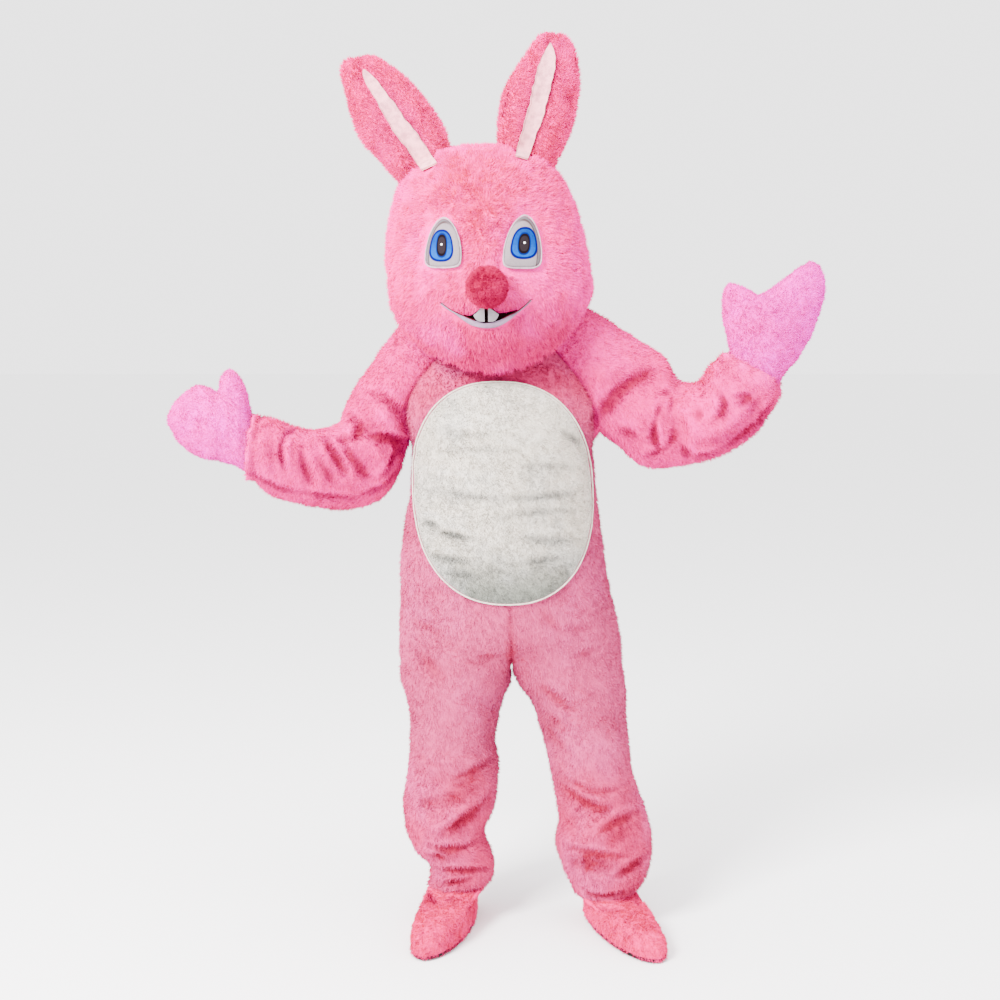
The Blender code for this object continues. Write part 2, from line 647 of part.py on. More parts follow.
def add_object(name, points, faces, finish):
    """Closed, outward-facing object, lowered so that the origin is at the shoulders."""
    mesh = bpy.data.meshes.new(name)
    placed = np.array(points).reshape(-1, 3) - np.array([0, 0, lowering(name)])
    mesh.from_pydata(placed.tolist(), [], faces)
    volume = 0.0
    for face in faces:
        for second, third in zip(face[1:-1], face[2:]):
            volume += np.dot(placed[face[0]], np.cross(placed[second], placed[third]))
    if volume < 0:
        mesh.flip_normals()
    mesh.shade_smooth()
    mesh.set_sharp_from_angle(angle=math.radians(50))
    mesh.materials.append(material(finish))
    made = bpy.data.objects.new(name, mesh)
    bpy.context.scene.collection.objects.link(made)
    return made


def add_wall(name, outer, inner, finish, wrapped=False):
    """A wall between two grids."""
    rows, columns = outer.shape[:2]
    points = np.concatenate([outer.reshape(-1, 3), inner.reshape(-1, 3)])
    faces = wall_faces(rows, columns, wrapped, points)
    return add_object(name, points, faces, finish)


def add_sheet(name, sheet, finish):
    return add_wall(name, sheet.outer(), sheet.inner(), finish, sheet.wrapped)


def surface_tree(*made):
    """Search tree over finished objects, in heights above the floor."""
    corners, faces = [], []
    for item in made:
        start = len(corners)
        up = Vector((0, 0, lowering(item.name)))
        corners += [vertex.co + up for vertex in item.data.vertices]
        faces += [[start + index for index in face.vertices] for face in item.data.polygons]
    return BVHTree.FromPolygons(corners, faces)


def lifted(points, normals, tree, clearance=LIFT):
    """The points set down on the surface below them, at a clearance along their normals."""
    result = np.array(points, float)
    start = 0.05
    for index in np.ndindex(points.shape[:-1]):
        normal = Vector(normals[index])
        origin = Vector(points[index]) + normal * start
        hit = tree.ray_cast(origin, -normal, 2 * start)[0]
        if hit is not None:
            result[index] = hit + normal * clearance
    return result


# Suit

def build_suit():
    """Fronts, backs and sleeves, sharing the points and normals of their seams."""
    panels = {}
    for side in (RIGHT, LEFT):
        for face in (FRONT, BACK):
            panels[side, face] = Sheet(panel_grid(side, face), -side * face)
    sleeves = {side: Sheet(sleeve_grid(side), -side, wrapped=True) for side in (RIGHT, LEFT)}
    crotch_row, armpit_row = LEG_ROWS, LEG_ROWS + CURVE_ROWS + TRUNK_ROWS
    rows = np.arange(armpit_row + YOKE_ROWS + 1)
    inseam, centre = rows[: crotch_row + 1], rows[crotch_row:]
    flank, raglan = rows[: armpit_row + 1], rows[armpit_row:]
    crotch_normal = sum(panel.normals[crotch_row, 0] for panel in panels.values())
    for side in (RIGHT, LEFT):
        front, back, sleeve = panels[side, FRONT], panels[side, BACK], sleeves[side]
        armpit_normal = front.normals[armpit_row, -1] + back.normals[armpit_row, -1]
        armpit_normal = unit(armpit_normal + sleeve.normals[0, 0])
        join_edges(front, back, *column_edge(inseam, 0, 1), *column_edge(inseam, 0, 1))
        join_edges(front, back, *column_edge(flank, -1, -2), *column_edge(flank, -1, -2))
        ring = np.arange(YOKE_ROWS + 1)
        join_edges(front, sleeve, *column_edge(raglan, -1, -2), (0 * ring, ring), (0 * ring + 1, ring))
        ring = -ring % SLEEVE_COLUMNS
        join_edges(back, sleeve, *column_edge(raglan, -1, -2), (0 * ring, ring), (0 * ring + 1, ring))
        for sheet, corner in ((front, (armpit_row, -1)), (back, (armpit_row, -1)), (sleeve, (0, 0))):
            sheet.normals[corner] = armpit_normal
    for face in (FRONT, BACK):
        first, second = panels[RIGHT, face], panels[LEFT, face]
        join_edges(first, second, *column_edge(centre, 0, 1), *column_edge(centre, 0, 1))
    for panel in panels.values():
        panel.normals[crotch_row, 0] = unit(crotch_normal)
    made = {}
    for (side, face), panel in panels.items():
        name = ("front_" if face == FRONT else "back_") + side_word(side)
        made[name] = add_sheet(name, panel, "plush_pink")
    for side, sleeve in sleeves.items():
        made["sleeve_" + side_word(side)] = add_sheet("sleeve_" + side_word(side), sleeve, "plush_pink")
    return panels, sleeves, made


def front_point(x, z):
    """Point and outward normal of the suit's front at a place seen square on."""
    side = np.where(x >= smooth(TRUNK, "height", "seam", z), LEFT, RIGHT)
    result, step = [], 1e-3
    for shift_x, shift_z in ((0, 0), (step, 0), (0, step)):
        at_x, at_z = x + shift_x, z + shift_z
        seam = smooth(TRUNK, "height", "seam", at_z)
        half = np.where(side == LEFT, trunk_edge(LEFT, at_z), trunk_edge(RIGHT, at_z)) - seam
        angle = np.arcsin(np.clip((at_x - seam) / half, 0, 0.999))
        depth = np.abs(smooth(TRUNK, "height", "front", at_z))
        result.append(np.stack([at_x, -depth * np.cos(angle), at_z], -1))
    here, beside, above = result
    return here, unit(np.cross(beside - here, above - here))


def patch_outline(turn, grow=0.0):
    """Rounded outline of the belly patch, fuller than an oval at its corners and leaning a little."""
    cosine, sine = np.cos(turn), np.sin(turn)
    size = (np.abs(cosine) ** PATCH_POWER + np.abs(sine) ** PATCH_POWER) ** (-1 / PATCH_POWER)
    z = (PATCH_HALF_HEIGHT + grow) * size * sine
    x = (PATCH_HALF_WIDTH + grow) * size * cosine + PATCH_LEAN * z
    return x, z


def add_disc(name, rings_out, rings_in, finish):
    """Closed plate between two sets of rings around a middle point (ring 0 is the middle)."""
    rings, spokes = rings_out.shape[0] - 1, rings_out.shape[1]
    points = [rings_out[0, 0], *rings_out[1:].reshape(-1, 3)]
    points += [rings_in[0, 0], *rings_in[1:].reshape(-1, 3)]
    offset = 1 + rings * spokes
    faces = []
    for spoke in range(spokes):
        other = (spoke + 1) % spokes
        faces.append([0, 1 + spoke, 1 + other])
        faces.append([offset, offset + 1 + other, offset + 1 + spoke])
        for ring in range(rings - 1):
            a, b = 1 + ring * spokes + spoke, 1 + ring * spokes + other
            faces.append([a, a + spokes, b + spokes, b])
            faces.append([offset + b, offset + b + spokes, offset + a + spokes, offset + a])
        a, b = 1 + (rings - 1) * spokes + spoke, 1 + (rings - 1) * spokes + other
        faces.append([a, a + offset, b + offset, b])
    return add_object(name, points, faces, finish)


def add_cutter(name, x, z, near, far):
    """Prism through an outline seen square on, used only to cut."""
    count = len(x)
    points = [(px, y, pz) for y in (near, far) for px, pz in zip(x, z)]
    faces = [list(range(count)), list(range(2 * count - 1, count - 1, -1))]
    for start in range(count):
        end = (start + 1) % count
        faces.append([start, start + count, end + count, end])
    cutter = add_object(name, points, faces, "plush_white")
    cutter.hide_render = True
    cutter.display_type = "WIRE"
    return cutter


def build_patch(panels, tree):
    """Belly patch: the fronts' own facets moved out and cut to its outline, and its welt."""
    right, left = panels[RIGHT, FRONT], panels[LEFT, FRONT]
    heights = left.points[:, 0, 2]
    reach = PATCH_HALF_HEIGHT + PATCH_MARGIN
    rows = np.flatnonzero(np.abs(heights - PATCH_Z) < reach)
    points = np.concatenate([right.points[rows, ::-1], left.points[rows, 1:]], axis=1)
    normals = np.concatenate([right.normals[rows, ::-1], left.normals[rows, 1:]], axis=1)
    top = points + normals * (LIFT + PATCH_THICK)
    patch = add_wall("belly_patch", top, points + normals * LIFT, "plush_white")
    turn = 2 * math.pi * np.arange(WELT_SPOKES) / WELT_SPOKES
    edge_x, edge_z = patch_outline(turn)
    cut = patch.modifiers.new("outline", "BOOLEAN")
    cut.operation = "INTERSECT"
    cut.solver = "EXACT"
    outline = (PATCH_X + edge_x, PATCH_Z + edge_z)
    cut.object = add_cutter("patch_cutter", *outline, PATCH_CUT_FRONT, PATCH_CUT_BACK)

    edge_x, edge_z = patch_outline(turn, WELT_RADIUS + WELT_GAP)
    points, normals = front_point(PATCH_X + edge_x, PATCH_Z + edge_z)
    middle = lifted(points, normals, tree, WELT_RADIUS + WELT_LIFT)
    run = unit(np.roll(middle, -1, axis=0) - np.roll(middle, 1, axis=0))
    across = unit(np.cross(run, normals))
    around = 2 * math.pi * np.arange(WELT_SIDES) / WELT_SIDES
    ring = across[:, None] * np.cos(around)[:, None] + normals[:, None] * np.sin(around)[:, None]
    welt = middle[:, None] + WELT_RADIUS * ring
    number = np.arange(WELT_SPOKES * WELT_SIDES).reshape(WELT_SPOKES, WELT_SIDES)
    beyond, beside = np.roll(number, -1, axis=0), np.roll(number, -1, axis=1)
    faces = np.stack([number, beside, np.roll(beyond, -1, axis=1), beyond], -1).reshape(-1, 4)
    add_object("patch_edge", welt, faces.tolist(), "felt_white")


def build_zip(panels):
    """Closed zip: one strip of tape and chain along the inside of the centre-back seam."""
    inner = {side: panels[side, BACK].inner() for side in (RIGHT, LEFT)}
    rows = np.flatnonzero(inner[LEFT][:, 0, 2] > ZIP_LOW)
    edges = []
    for side in (RIGHT, LEFT):
        seam, beside = inner[side][rows, 0], inner[side][rows, 1]
        edges.append(seam + unit(beside - seam) * ZIP_HALF_WIDTH)
    middle = (inner[RIGHT][rows, 0] + inner[LEFT][rows, 0]) / 2
    outer = np.stack([edges[0], middle, edges[1]], axis=1) - np.array([0, LIFT, 0])
    add_wall("back_zip", outer, outer - np.array([0, ZIP_THICK, 0]), "zip_tape")


# Head

def head_at(face, turn, row):
    """Point of the head: turn goes from the middle of the face or nape to the sides."""
    left, right = along(HEAD, "left", row), along(HEAD, "right", row)
    middle = along(HEAD, "middle", row)
    depth = np.abs(along(HEAD, "front" if face == FRONT else "back", row) - middle)
    x = (left + right) / 2 + (left - right) / 2 * np.sin(turn)
    y = middle + face * depth * np.cos(turn)
    return np.stack([x, y, along(HEAD, "height", row)], axis=-1)


def face_form(points, normals):
    """How far the muzzle, chin and eye hollows stand out from the plain head."""
    total = np.zeros(points.shape[:-1])
    for x, z, wide, high, out in zip(*FACE.values()):
        distance = ((points[..., 0] - x) / wide) ** 2 + ((points[..., 2] - z) / high) ** 2
        total += out * np.exp(-distance)
    return total * np.clip(-normals[..., 1] * 2, 0, 1)


def head_grid(face):
    """Rows from the crown to the rim that the neck passes through."""
    turn = np.linspace(-math.pi / 2, math.pi / 2, HEAD_COLUMNS[face] + 1)
    inward = np.abs(np.cos(turn)) ** HEAD_RIM["power"]
    rim = HEAD_RIM["side"] + (HEAD_RIM[face] - HEAD_RIM["side"]) * inward
    row = np.linspace(0, 1, HEAD_ROWS + 1)[:, None] * rim
    points = head_at(face, turn + 0 * row, row)
    normals = grid_normals(points, False) * face
    return points + normals * face_form(points, normals)[..., None]


def build_head():
    """Face half and back half of the head: plush over foam, open at the neck."""
    sheets = {face: Sheet(head_grid(face), face, thick=HEAD_WALL) for face in (FRONT, BACK)}
    rows = np.arange(HEAD_ROWS + 1)
    for column, behind in ((0, 1), (-1, -2)):
        edge = column_edge(rows, column, behind)
        join_edges(sheets[FRONT], sheets[BACK], *edge, *edge)
    front = add_sheet("head_front", sheets[FRONT], "plush_hot_pink")
    return front, add_sheet("head_back", sheets[BACK], "plush_hot_pink")


def face_point(x, z):
    """Point and outward normal of the plain face at a place seen square on."""
    rows = np.linspace(0, len(HEAD["height"]) - 1, 400)
    row = np.interp(-z, -along(HEAD, "height", rows), rows)
    left, right = along(HEAD, "left", row), along(HEAD, "right", row)
    turn = np.arcsin(np.clip((x - (left + right) / 2) / ((left - right) / 2), -0.98, 0.98))
    step = 1e-2
    here = head_at(FRONT, turn, row)
    beside, below = head_at(FRONT, turn + step, row), head_at(FRONT, turn, row + step)
    return here, unit(np.cross(below - here, beside - here))


def eye_outline(turn, half_width, height, lean):
    """Arch: half an oval above its waist, and a foot with nearly square corners below."""
    cosine, sine = np.cos(turn), np.sin(turn)
    power = np.where(sine < 0, EYE_CORNER, 1.0)
    waist = height * EYE_WAIST
    reach = np.where(sine < 0, waist, height - waist)
    z = waist + reach * np.sign(sine) * np.abs(sine) ** power
    return half_width * np.sign(cosine) * np.abs(cosine) ** power + lean * z, z


def build_eyes(tree):
    """Domed eyes, and the felt edge round each of them."""
    turn = 2 * math.pi * np.arange(EYE_SPOKES) / EYE_SPOKES
    for side, x, low_z, half_width, height, lean, lift in zip(*EYE.values()):
        word = side_word(side)
        edge_x, edge_z = eye_outline(turn, half_width, height, lean)
        middle_z = low_z + height * 0.45
        share = np.linspace(0, 1, EYE_RINGS + 1)[:, None]
        at_x, at_z = x + share * edge_x, middle_z + share * (low_z + edge_z - middle_z)
        points, normals = face_point(at_x, at_z)
        base = lifted(points, normals, tree, lift)
        dome = EYE_EDGE + EYE_CROWN * (1 - share**2)
        add_disc("eye_" + word, base + normals * dome[..., None], base, "eye_enamel")
        inside = 1.0 + EYE_RIM_GAP / half_width
        outside = 1.0 + EYE_RIM / half_width
        grow = np.array([inside, outside])[:, None]
        at_x, at_z = x + grow * edge_x, middle_z + grow * (low_z + edge_z - middle_z)
        points, normals = face_point(at_x, at_z)
        base = lifted(points, normals, tree, lift)
        top = base + normals * np.array(RIM_THICK)[:, None, None]
        add_wall("eye_rim_" + word, top, base, "felt_white", wrapped=True)


def build_nose(tree):
    """Plush ball, flattened where it is sewn to the muzzle."""
    polar = math.pi * np.arange(1, NOSE_RINGS + 1) / (NOSE_RINGS + 1)
    turn = 2 * math.pi * np.arange(NOSE_SPOKES) / NOSE_SPOKES
    seat, seat_normal = face_point(np.array(NOSE_X), np.array(NOSE_Z))
    seat = lifted(seat[None], seat_normal[None], tree)[0]
    centre = seat + np.array([0, -NOSE_RADIUS * NOSE_STAND, 0])
    ring = np.stack(
        [
            np.sin(polar)[:, None] * np.cos(turn),
            -np.cos(polar)[:, None] + 0 * turn,
            np.sin(polar)[:, None] * np.sin(turn),
        ],
        -1,
    )
    ball = (centre + NOSE_RADIUS * ring).reshape(-1, 3)
    points = np.array([centre + [0, -NOSE_RADIUS, 0], *ball, centre + [0, NOSE_RADIUS, 0]])
    for number, point in enumerate(points):
        hit = tree.ray_cast(Vector((point[0], -1.0, point[2])), Vector((0, 1, 0)))[0]
        if hit is not None:
            points[number, 1] = min(point[1], hit.y - 2 * LIFT)
    faces = []
    last = 1 + (NOSE_RINGS - 1) * NOSE_SPOKES
    for spoke in range(NOSE_SPOKES):
        other = (spoke + 1) % NOSE_SPOKES
        faces.append([0, 1 + spoke, 1 + other])
        for ring in range(NOSE_RINGS - 1):
            a, b = 1 + ring * NOSE_SPOKES + spoke, 1 + ring * NOSE_SPOKES + other
            faces.append([a, a + NOSE_SPOKES, b + NOSE_SPOKES, b])
        faces.append([last + spoke, last + NOSE_SPOKES, last + other])
    return add_object("nose", points, faces, "plush_red_pink")


def add_face_strip(name, finish, edges, tree, thick, clearance, columns=2):
    """Plate on the face; edges are its x, lower z and upper z, one value for each step."""
    x, low, high = edges
    share = np.linspace(0, 1, columns + 1)
    at_z = low[:, None] + (high - low)[:, None] * share
    points, normals = face_point(x[:, None] + 0 * at_z, at_z)
    base = lifted(points, normals, tree, clearance)
    return add_wall(name, base + normals * thick, base, finish)


def build_mouth(tree):
    """Pale lower lip, the dark mesh above it, and two teeth in front of the mesh."""
    x = np.linspace(MOUTH["x"][0], MOUTH["x"][-1], MOUTH_STEPS + 1)
    low, high = smooth(MOUTH, "x", "lip_low", x), smooth(MOUTH, "x", "lip_high", x)
    top = smooth(MOUTH, "x", "gap_high", x)
    add_face_strip("mouth_lip", "lip_lilac", (x, low, high), tree, LIP_THICK, FACE_LIFT)
    open_part = (top - high) > MESH_LEAST
    gap = (x[open_part], high[open_part] + MESH_GAP, top[open_part])
    add_face_strip("mouth_mesh", "mesh_dark", gap, tree, MESH_THICK, FACE_LIFT)
    across = np.linspace(-1, 1, 4)
    for side, middle in TOOTH_X.items():
        x = middle + TOOTH_WIDTH / 2 * across
        muzzle = smooth(MOUTH, "x", "gap_high", x)
        tooth = (x, TOOTH_LOW_Z + TOOTH_ROUND * across**2, np.minimum(muzzle, TOOTH_LOW_Z + TOOTH_HEIGHT))
        add_face_strip("tooth_" + side_word(side), "tooth", tooth, tree, TOOTH_DEPTH, TOOTH_LIFT, 3)


def ear_at(side, face, share, row):
    """Point of an ear: share goes from the outer (-1) to the inner edge (1), row to the tip."""
    rows = EAR[side]
    outer = np.stack([along(rows, "outer_x", row), along(rows, "outer_z", row)], -1)
    inner = np.stack([along(rows, "inner_x", row), along(rows, "inner_z", row)], -1)
    flat = (outer + inner) / 2 + (inner - outer) / 2 * share[..., None]
    last = len(rows["thick"]) - 1
    thick = along(rows, "thick", row) * np.sqrt(np.maximum(0.02, 1 - share**2))
    valley = EAR_VALLEY * np.exp(-((share / EAR_VALLEY_WIDTH) ** 2))
    valley *= np.clip(1.25 * (last - row) / last, 0, 1)
    if face == FRONT:
        thick = thick * (1 - valley)
    y = EAR_MIDDLE + EAR_LEAN * (flat[..., 1] - EAR_LEAN_FROM) + face * thick
    return np.stack([flat[..., 0], y, flat[..., 1]], axis=-1)


def root_target(side):
    """Place inside the head that the ear's sides run to."""
    ear = ear_at(side, BACK, np.zeros(2), np.array([0.0, 1.0]))
    middle = ear[0] * np.array([1, 0, 1]) + np.array([0, EAR_MIDDLE, 0])
    return middle + unit(ear[0] - ear[1]) * EAR_ROOT_DEPTH


def build_ears(tree):
    """Front and back of each stuffed ear, and the pale strip in the front's groove."""
    for side in (RIGHT, LEFT):
        last = len(EAR[side]["thick"]) - 1
        share = np.sin(np.linspace(-math.pi / 2, math.pi / 2, EAR_COLUMNS + 1))
        row = np.linspace(0, last, EAR_RINGS + 1)[:, None]
        outer = {face: ear_at(side, face, share + 0 * row, row + 0 * share) for face in (FRONT, BACK)}
        middle = (outer[FRONT] + outer[BACK]) / 2
        stacks = [outer[FRONT], middle, outer[BACK]]
        for stack in stacks:
            towards = unit(root_target(side) - stack[2])
            for column in range(EAR_COLUMNS + 1):
                origin, way = Vector(stack[2, column]), Vector(towards[column])
                hit = tree.ray_cast(origin, way)[0] or tree.find_nearest(origin)[0]
                stack[0, column] = hit - way * EAR_LIFT
                stack[1, column] = (stack[0, column] + stack[2, column]) / 2
        front, middle, back = stacks
        half_gap = np.array([0, SEAM_GAP / 2, 0])
        word = side_word(side)
        add_wall("ear_front_" + word, front, middle - half_gap, "plush_hot_pink")
        add_wall("ear_back_" + word, back, middle + half_gap, "plush_hot_pink")

        ear_tree = surface_tree(bpy.data.objects["ear_front_" + word])
        strip = STRIP[side]
        row = np.linspace(strip["row"][0], strip["row"][-1], EAR_RINGS)[:, None]
        half = smooth(strip, "row", "half", row)
        share = smooth(strip, "row", "share", row) + np.linspace(-1, 1, 4) * half
        points = ear_at(side, FRONT, share, row + 0 * share)
        forward = np.zeros_like(points)
        forward[..., 1] = -1
        base = lifted(points, forward, ear_tree)
        add_wall("ear_strip_" + word, base + forward * STRIP_THICK, base, "strip_cream")


# Mittens

def build_mittens(sleeves):
    """Palm and back of each mitten, the wrist tucked into the sleeve's cuff."""
    for side, sleeve in sleeves.items():
        share = np.arange(SLEEVE_COLUMNS) / SLEEVE_COLUMNS
        tucked = sleeve.inner()[[-2, -1]] - sleeve.normals[[-2, -1]] * LIFT
        rows = MITTEN[side]
        hand = [ring_at(rows, row + 0 * share, share) for row in range(len(rows["middle"]))]
        points = np.concatenate([tucked, hand])
        half = SLEEVE_COLUMNS // 2
        beyond = np.arange(half, SLEEVE_COLUMNS + 1) % SLEEVE_COLUMNS
        palm = Sheet(points[:, : half + 1], -side, thick=MITTEN_WALL)
        back = Sheet(points[:, beyond], -side, thick=MITTEN_WALL)
        edge_rows = np.arange(len(points))
        join_edges(palm, back, *column_edge(edge_rows, -1, -2), *column_edge(edge_rows, 0, 1))
        join_edges(palm, back, *column_edge(edge_rows, 0, 1), *column_edge(edge_rows, -1, -2))
        for word, sheet in (("palm", palm), ("back", back)):
            outer, inner = sheet.outer(), sheet.inner()
            inner[-1] = (outer[-1] + outer[-1, ::-1]) / 2 + (inner[-2] - outer[-2]) * 0.5
            add_wall("mitten_%s_%s" % (word, side_word(side)), outer, inner, "plush_pink")


# Feet

def foot_outline(side, turn, ankle, grow=1.0):
    """Egg-shaped sole outline, turned out, from the inner side round by the toe."""
    forward = np.array([side * math.sin(FOOT_TURN[side]), -math.cos(FOOT_TURN[side])])
    across = np.array([-forward[1] * side, forward[0] * side])
    ahead = FOOT_FORWARD + grow * FOOT_REACH * np.cos(turn)
    aside = grow * FOOT_HALF_WIDTH * np.sin(turn) * (1 + 0.14 * np.cos(turn))
    return ankle + ahead[:, None] * forward + aside[:, None] * across


def build_feet(panels):
    """Foot covers: the upper with its shaft up the trouser leg, and the flat sole."""
    for side in (RIGHT, LEFT):
        front, back = panels[side, FRONT], panels[side, BACK]
        shaft = []
        for row in range(SHAFT_ROWS - 1, -1, -1):
            loops = [sheet.inner()[row] - sheet.normals[row] * SEAM_GAP for sheet in (front, back)]
            shaft.append(np.concatenate([loops[0], loops[1][-2:0:-1]]))
        turn_front = np.linspace(-math.pi / 2, math.pi / 2, PANEL_COLUMNS[FRONT] + 1)
        turn_back = np.linspace(math.pi / 2, 1.5 * math.pi, PANEL_COLUMNS[BACK] + 1)[1:-1]
        turn = np.concatenate([turn_front, turn_back])
        cuff = shaft[-1]
        ankle = cuff[:, :2].mean(axis=0)
        flat = foot_outline(side, turn, ankle)
        rings = list(shaft)
        seam = SOLE_THICK + SEAM_GAP
        for share, rise in zip(*FOOT_RINGS.values()):
            plan = (1 - share) * cuff[:, :2] + share * flat
            height = seam + rise * (HEM[side] - seam)
            rings.append(np.column_stack([plan, np.full(len(turn), height)]))
        upper = Sheet(np.array(rings), -side, wrapped=True, thick=MITTEN_WALL)
        inner = upper.inner()
        inner[-1, :, 2] = upper.outer()[-1, :, 2]
        word = side_word(side)
        add_wall("foot_upper_" + word, upper.outer(), inner, "plush_pink", wrapped=True)
        edge = foot_outline(side, turn, ankle, SOLE_EDGE)
        top = np.column_stack([edge, np.full(len(turn), SOLE_THICK)])
        plate = np.stack([np.repeat([top.mean(axis=0)], len(turn), 0), top])
        add_disc("foot_sole_" + word, plate, plate * np.array([1, 1, 0]), "sole_dark")


def clear_scene():
    for item in list(bpy.data.objects):
        bpy.data.objects.remove(item, do_unlink=True)


def build():
    clear_scene()
    panels, sleeves, suit = build_suit()
    build_patch(panels, surface_tree(suit["front_left"], suit["front_right"]))
    build_zip(panels)
    build_mittens(sleeves)
    build_feet(panels)
    head_front, head_back = build_head()
    face = surface_tree(head_front)
    build_eyes(face)
    build_nose(face)
    build_mouth(face)
    build_ears(surface_tree(head_front, head_back))


build()
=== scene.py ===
"""Rabbit mascot costume, dressed: plush suit, head, mittens and foot covers, worn and hollow.

Metres, +Z up, the front faces -Y and the wearer's left is +X. Tables of lengths are in
millimetres. Their heights are above the floor, and every piece is then lowered to the origin
between the shoulders.
"""
import logging
import math
from dataclasses import dataclass, replace
from enum import Enum
from typing import Callable, Optional, Sequence, Union

import bpy
import mathutils
import numpy as np
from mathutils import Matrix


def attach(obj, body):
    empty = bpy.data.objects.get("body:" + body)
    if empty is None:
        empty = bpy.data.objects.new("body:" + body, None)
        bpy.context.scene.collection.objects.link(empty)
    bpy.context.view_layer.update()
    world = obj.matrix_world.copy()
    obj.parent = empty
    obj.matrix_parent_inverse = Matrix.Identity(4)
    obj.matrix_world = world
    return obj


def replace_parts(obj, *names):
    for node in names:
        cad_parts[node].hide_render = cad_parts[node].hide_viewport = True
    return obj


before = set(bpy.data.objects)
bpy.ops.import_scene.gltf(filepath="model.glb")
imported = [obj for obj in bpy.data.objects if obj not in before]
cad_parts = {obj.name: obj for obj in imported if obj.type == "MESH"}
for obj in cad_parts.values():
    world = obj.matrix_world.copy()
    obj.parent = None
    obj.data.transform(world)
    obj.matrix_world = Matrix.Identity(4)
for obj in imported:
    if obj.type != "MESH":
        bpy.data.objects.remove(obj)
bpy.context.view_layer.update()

LOG = logging.getLogger("rabbit_costume")
Array = np.ndarray
Number = Union[Array, float]
Table = dict[str, Array]
Colour = tuple[float, float, float]

NECK_HEIGHT = 1.36
HEAD_DROP = 0.0048
WALL = 0.003
# Pile value of the cloth under the hairs, toward the root colour, which is painted shade between the hairs.
PILE_REST = 0.42
QUARTER = math.pi / 2


class Signed(Enum):
    """A choice of two, each with its sign along an axis."""

    @property
    def word(self) -> str:
        """Name used in piece names."""
        return self.name.lower()


class Side(Signed):
    """A side of the wearer, with its sign along X."""

    RIGHT = -1
    LEFT = 1


class Face(Signed):
    """Front or back of a tube, with its sign along Y."""

    FRONT = -1
    BACK = 1


class Held(Enum):
    """How a sheet of cloth is held."""

    HUNG = "hung"
    GATHERED = "gathered"
    STRETCHED = "stretched"
    LAID = "laid"


# ---------------------------------------------------------------- curves, noise and grids


def table(columns: str, *rows: tuple[float, ...]) -> Table:
    """A table as one array for each named column."""
    return dict(zip(columns.split(), np.array(rows, float).T))


def lengths(columns: str, *rows: tuple[float, ...]) -> Table:
    """A table whose numbers are all in millimetres, as arrays in metres."""
    return {name: column / 1000 for name, column in table(columns, *rows).items()}


def unit(vectors: Array) -> Array:
    """The vectors at length one."""
    return vectors / np.maximum(np.linalg.norm(vectors, axis=-1, keepdims=True), 1e-12)


def spots(x: Number, y: Number, z: Number) -> Array:
    """Places from coordinates that are numbers or arrays of matching shapes."""
    return np.stack(np.broadcast_arrays(x, y, z), axis=-1)


def bell(distance: Number, width: float) -> Number:
    """1 at no distance, 1/e at the width."""
    return np.exp(-((distance / width) ** 2))


def round_turn(count: int) -> Array:
    """Angles of a whole turn, without its end."""
    return 2 * math.pi * np.arange(count) / count


def smooth(rows: Table, key: str, column: str, at: Number) -> Array:
    """Cubic curve through a column, with each row's slope taken from its neighbours.

    Args:
        rows: table that holds both columns.
        key: column that the curve runs over.
        column: column of its values.
        at: places to read, kept inside the table's reach.

    Returns:
        The curve's values at those places.
    """
    known, values = rows[key], rows[column]
    at = np.clip(at, known[0], known[-1])
    slopes = np.gradient(values, known)
    index = np.clip(np.searchsorted(known, at, side="right") - 1, 0, len(known) - 2)
    span = known[index + 1] - known[index]
    t = (at - known[index]) / span
    rise = values[index] * (2 * t**3 - 3 * t**2 + 1) + values[index + 1] * (3 * t**2 - 2 * t**3)
    lean = slopes[index] * (t**3 - 2 * t**2 + t) + slopes[index + 1] * (t**3 - t**2)
    return rise + lean * span


def along(rows: Table, column: str, at: Number) -> Array:
    """The same curve, read by row number."""
    numbered = {"row": np.arange(len(rows[column]), dtype=float), column: rows[column]}
    return smooth(numbered, "row", column, at)


def edge_at(rows: Table, edge: str, at: Number) -> Array:
    """Both columns of an edge, its x and its z, read by row number."""
    return np.stack([along(rows, f"{edge}_x", at), along(rows, f"{edge}_z", at)], -1)


def grid_normals(points: Array, wrapped: bool, outward: float) -> Array:
    """Unit normals of a grid: the cross product of its differences across and along.

    Args:
        points: rows by columns by 3.
        wrapped: whether the last column meets the first.
        outward: sign that turns the normals out.

    Returns:
        One normal for each point.
    """
    if wrapped:
        across = (np.roll(points, -1, axis=1) - np.roll(points, 1, axis=1)) / 2
    else:
        across = np.gradient(points, axis=1)
    return unit(np.cross(across, np.gradient(points, axis=0))) * outward


def lattice_noise(points: Array, size: float, seed: int) -> Array:
    """Soft noise from -1 to 1: random numbers on a lattice of the given cell size, eased between.

    Args:
        points: places in space, any shape with 3 last.
        size: edge of a lattice cell, in metres.
        seed: picks the numbers.

    Returns:
        One number for each place.
    """
    place = points / size + 1000.0 + seed * 17.3
    cell = np.floor(place).astype(np.int64)
    part = place - cell
    part = part * part * (3 - 2 * part)
    total = np.zeros(points.shape[:-1])
    for corner in range(8):
        step = np.array([corner & 1, corner >> 1 & 1, corner >> 2 & 1])
        node = cell + step
        mixed = node[..., 0] * 73856093 ^ node[..., 1] * 19349663 ^ node[..., 2] * 83492791 ^ seed * 2654435
        mixed = (mixed ^ (mixed >> 13)) * 1274126177 & 0x7FFFFFFF
        value = (mixed ^ (mixed >> 16)) % 65536 / 32768.0 - 1.0
        total += value * np.prod(np.where(step == 1, part, 1 - part), axis=-1)
    return total


def noise_vectors(points: Array, size: float, seed: int) -> Array:
    """Soft noise in three directions."""
    return np.stack([lattice_noise(points, size, seed + axis) for axis in range(3)], axis=-1)


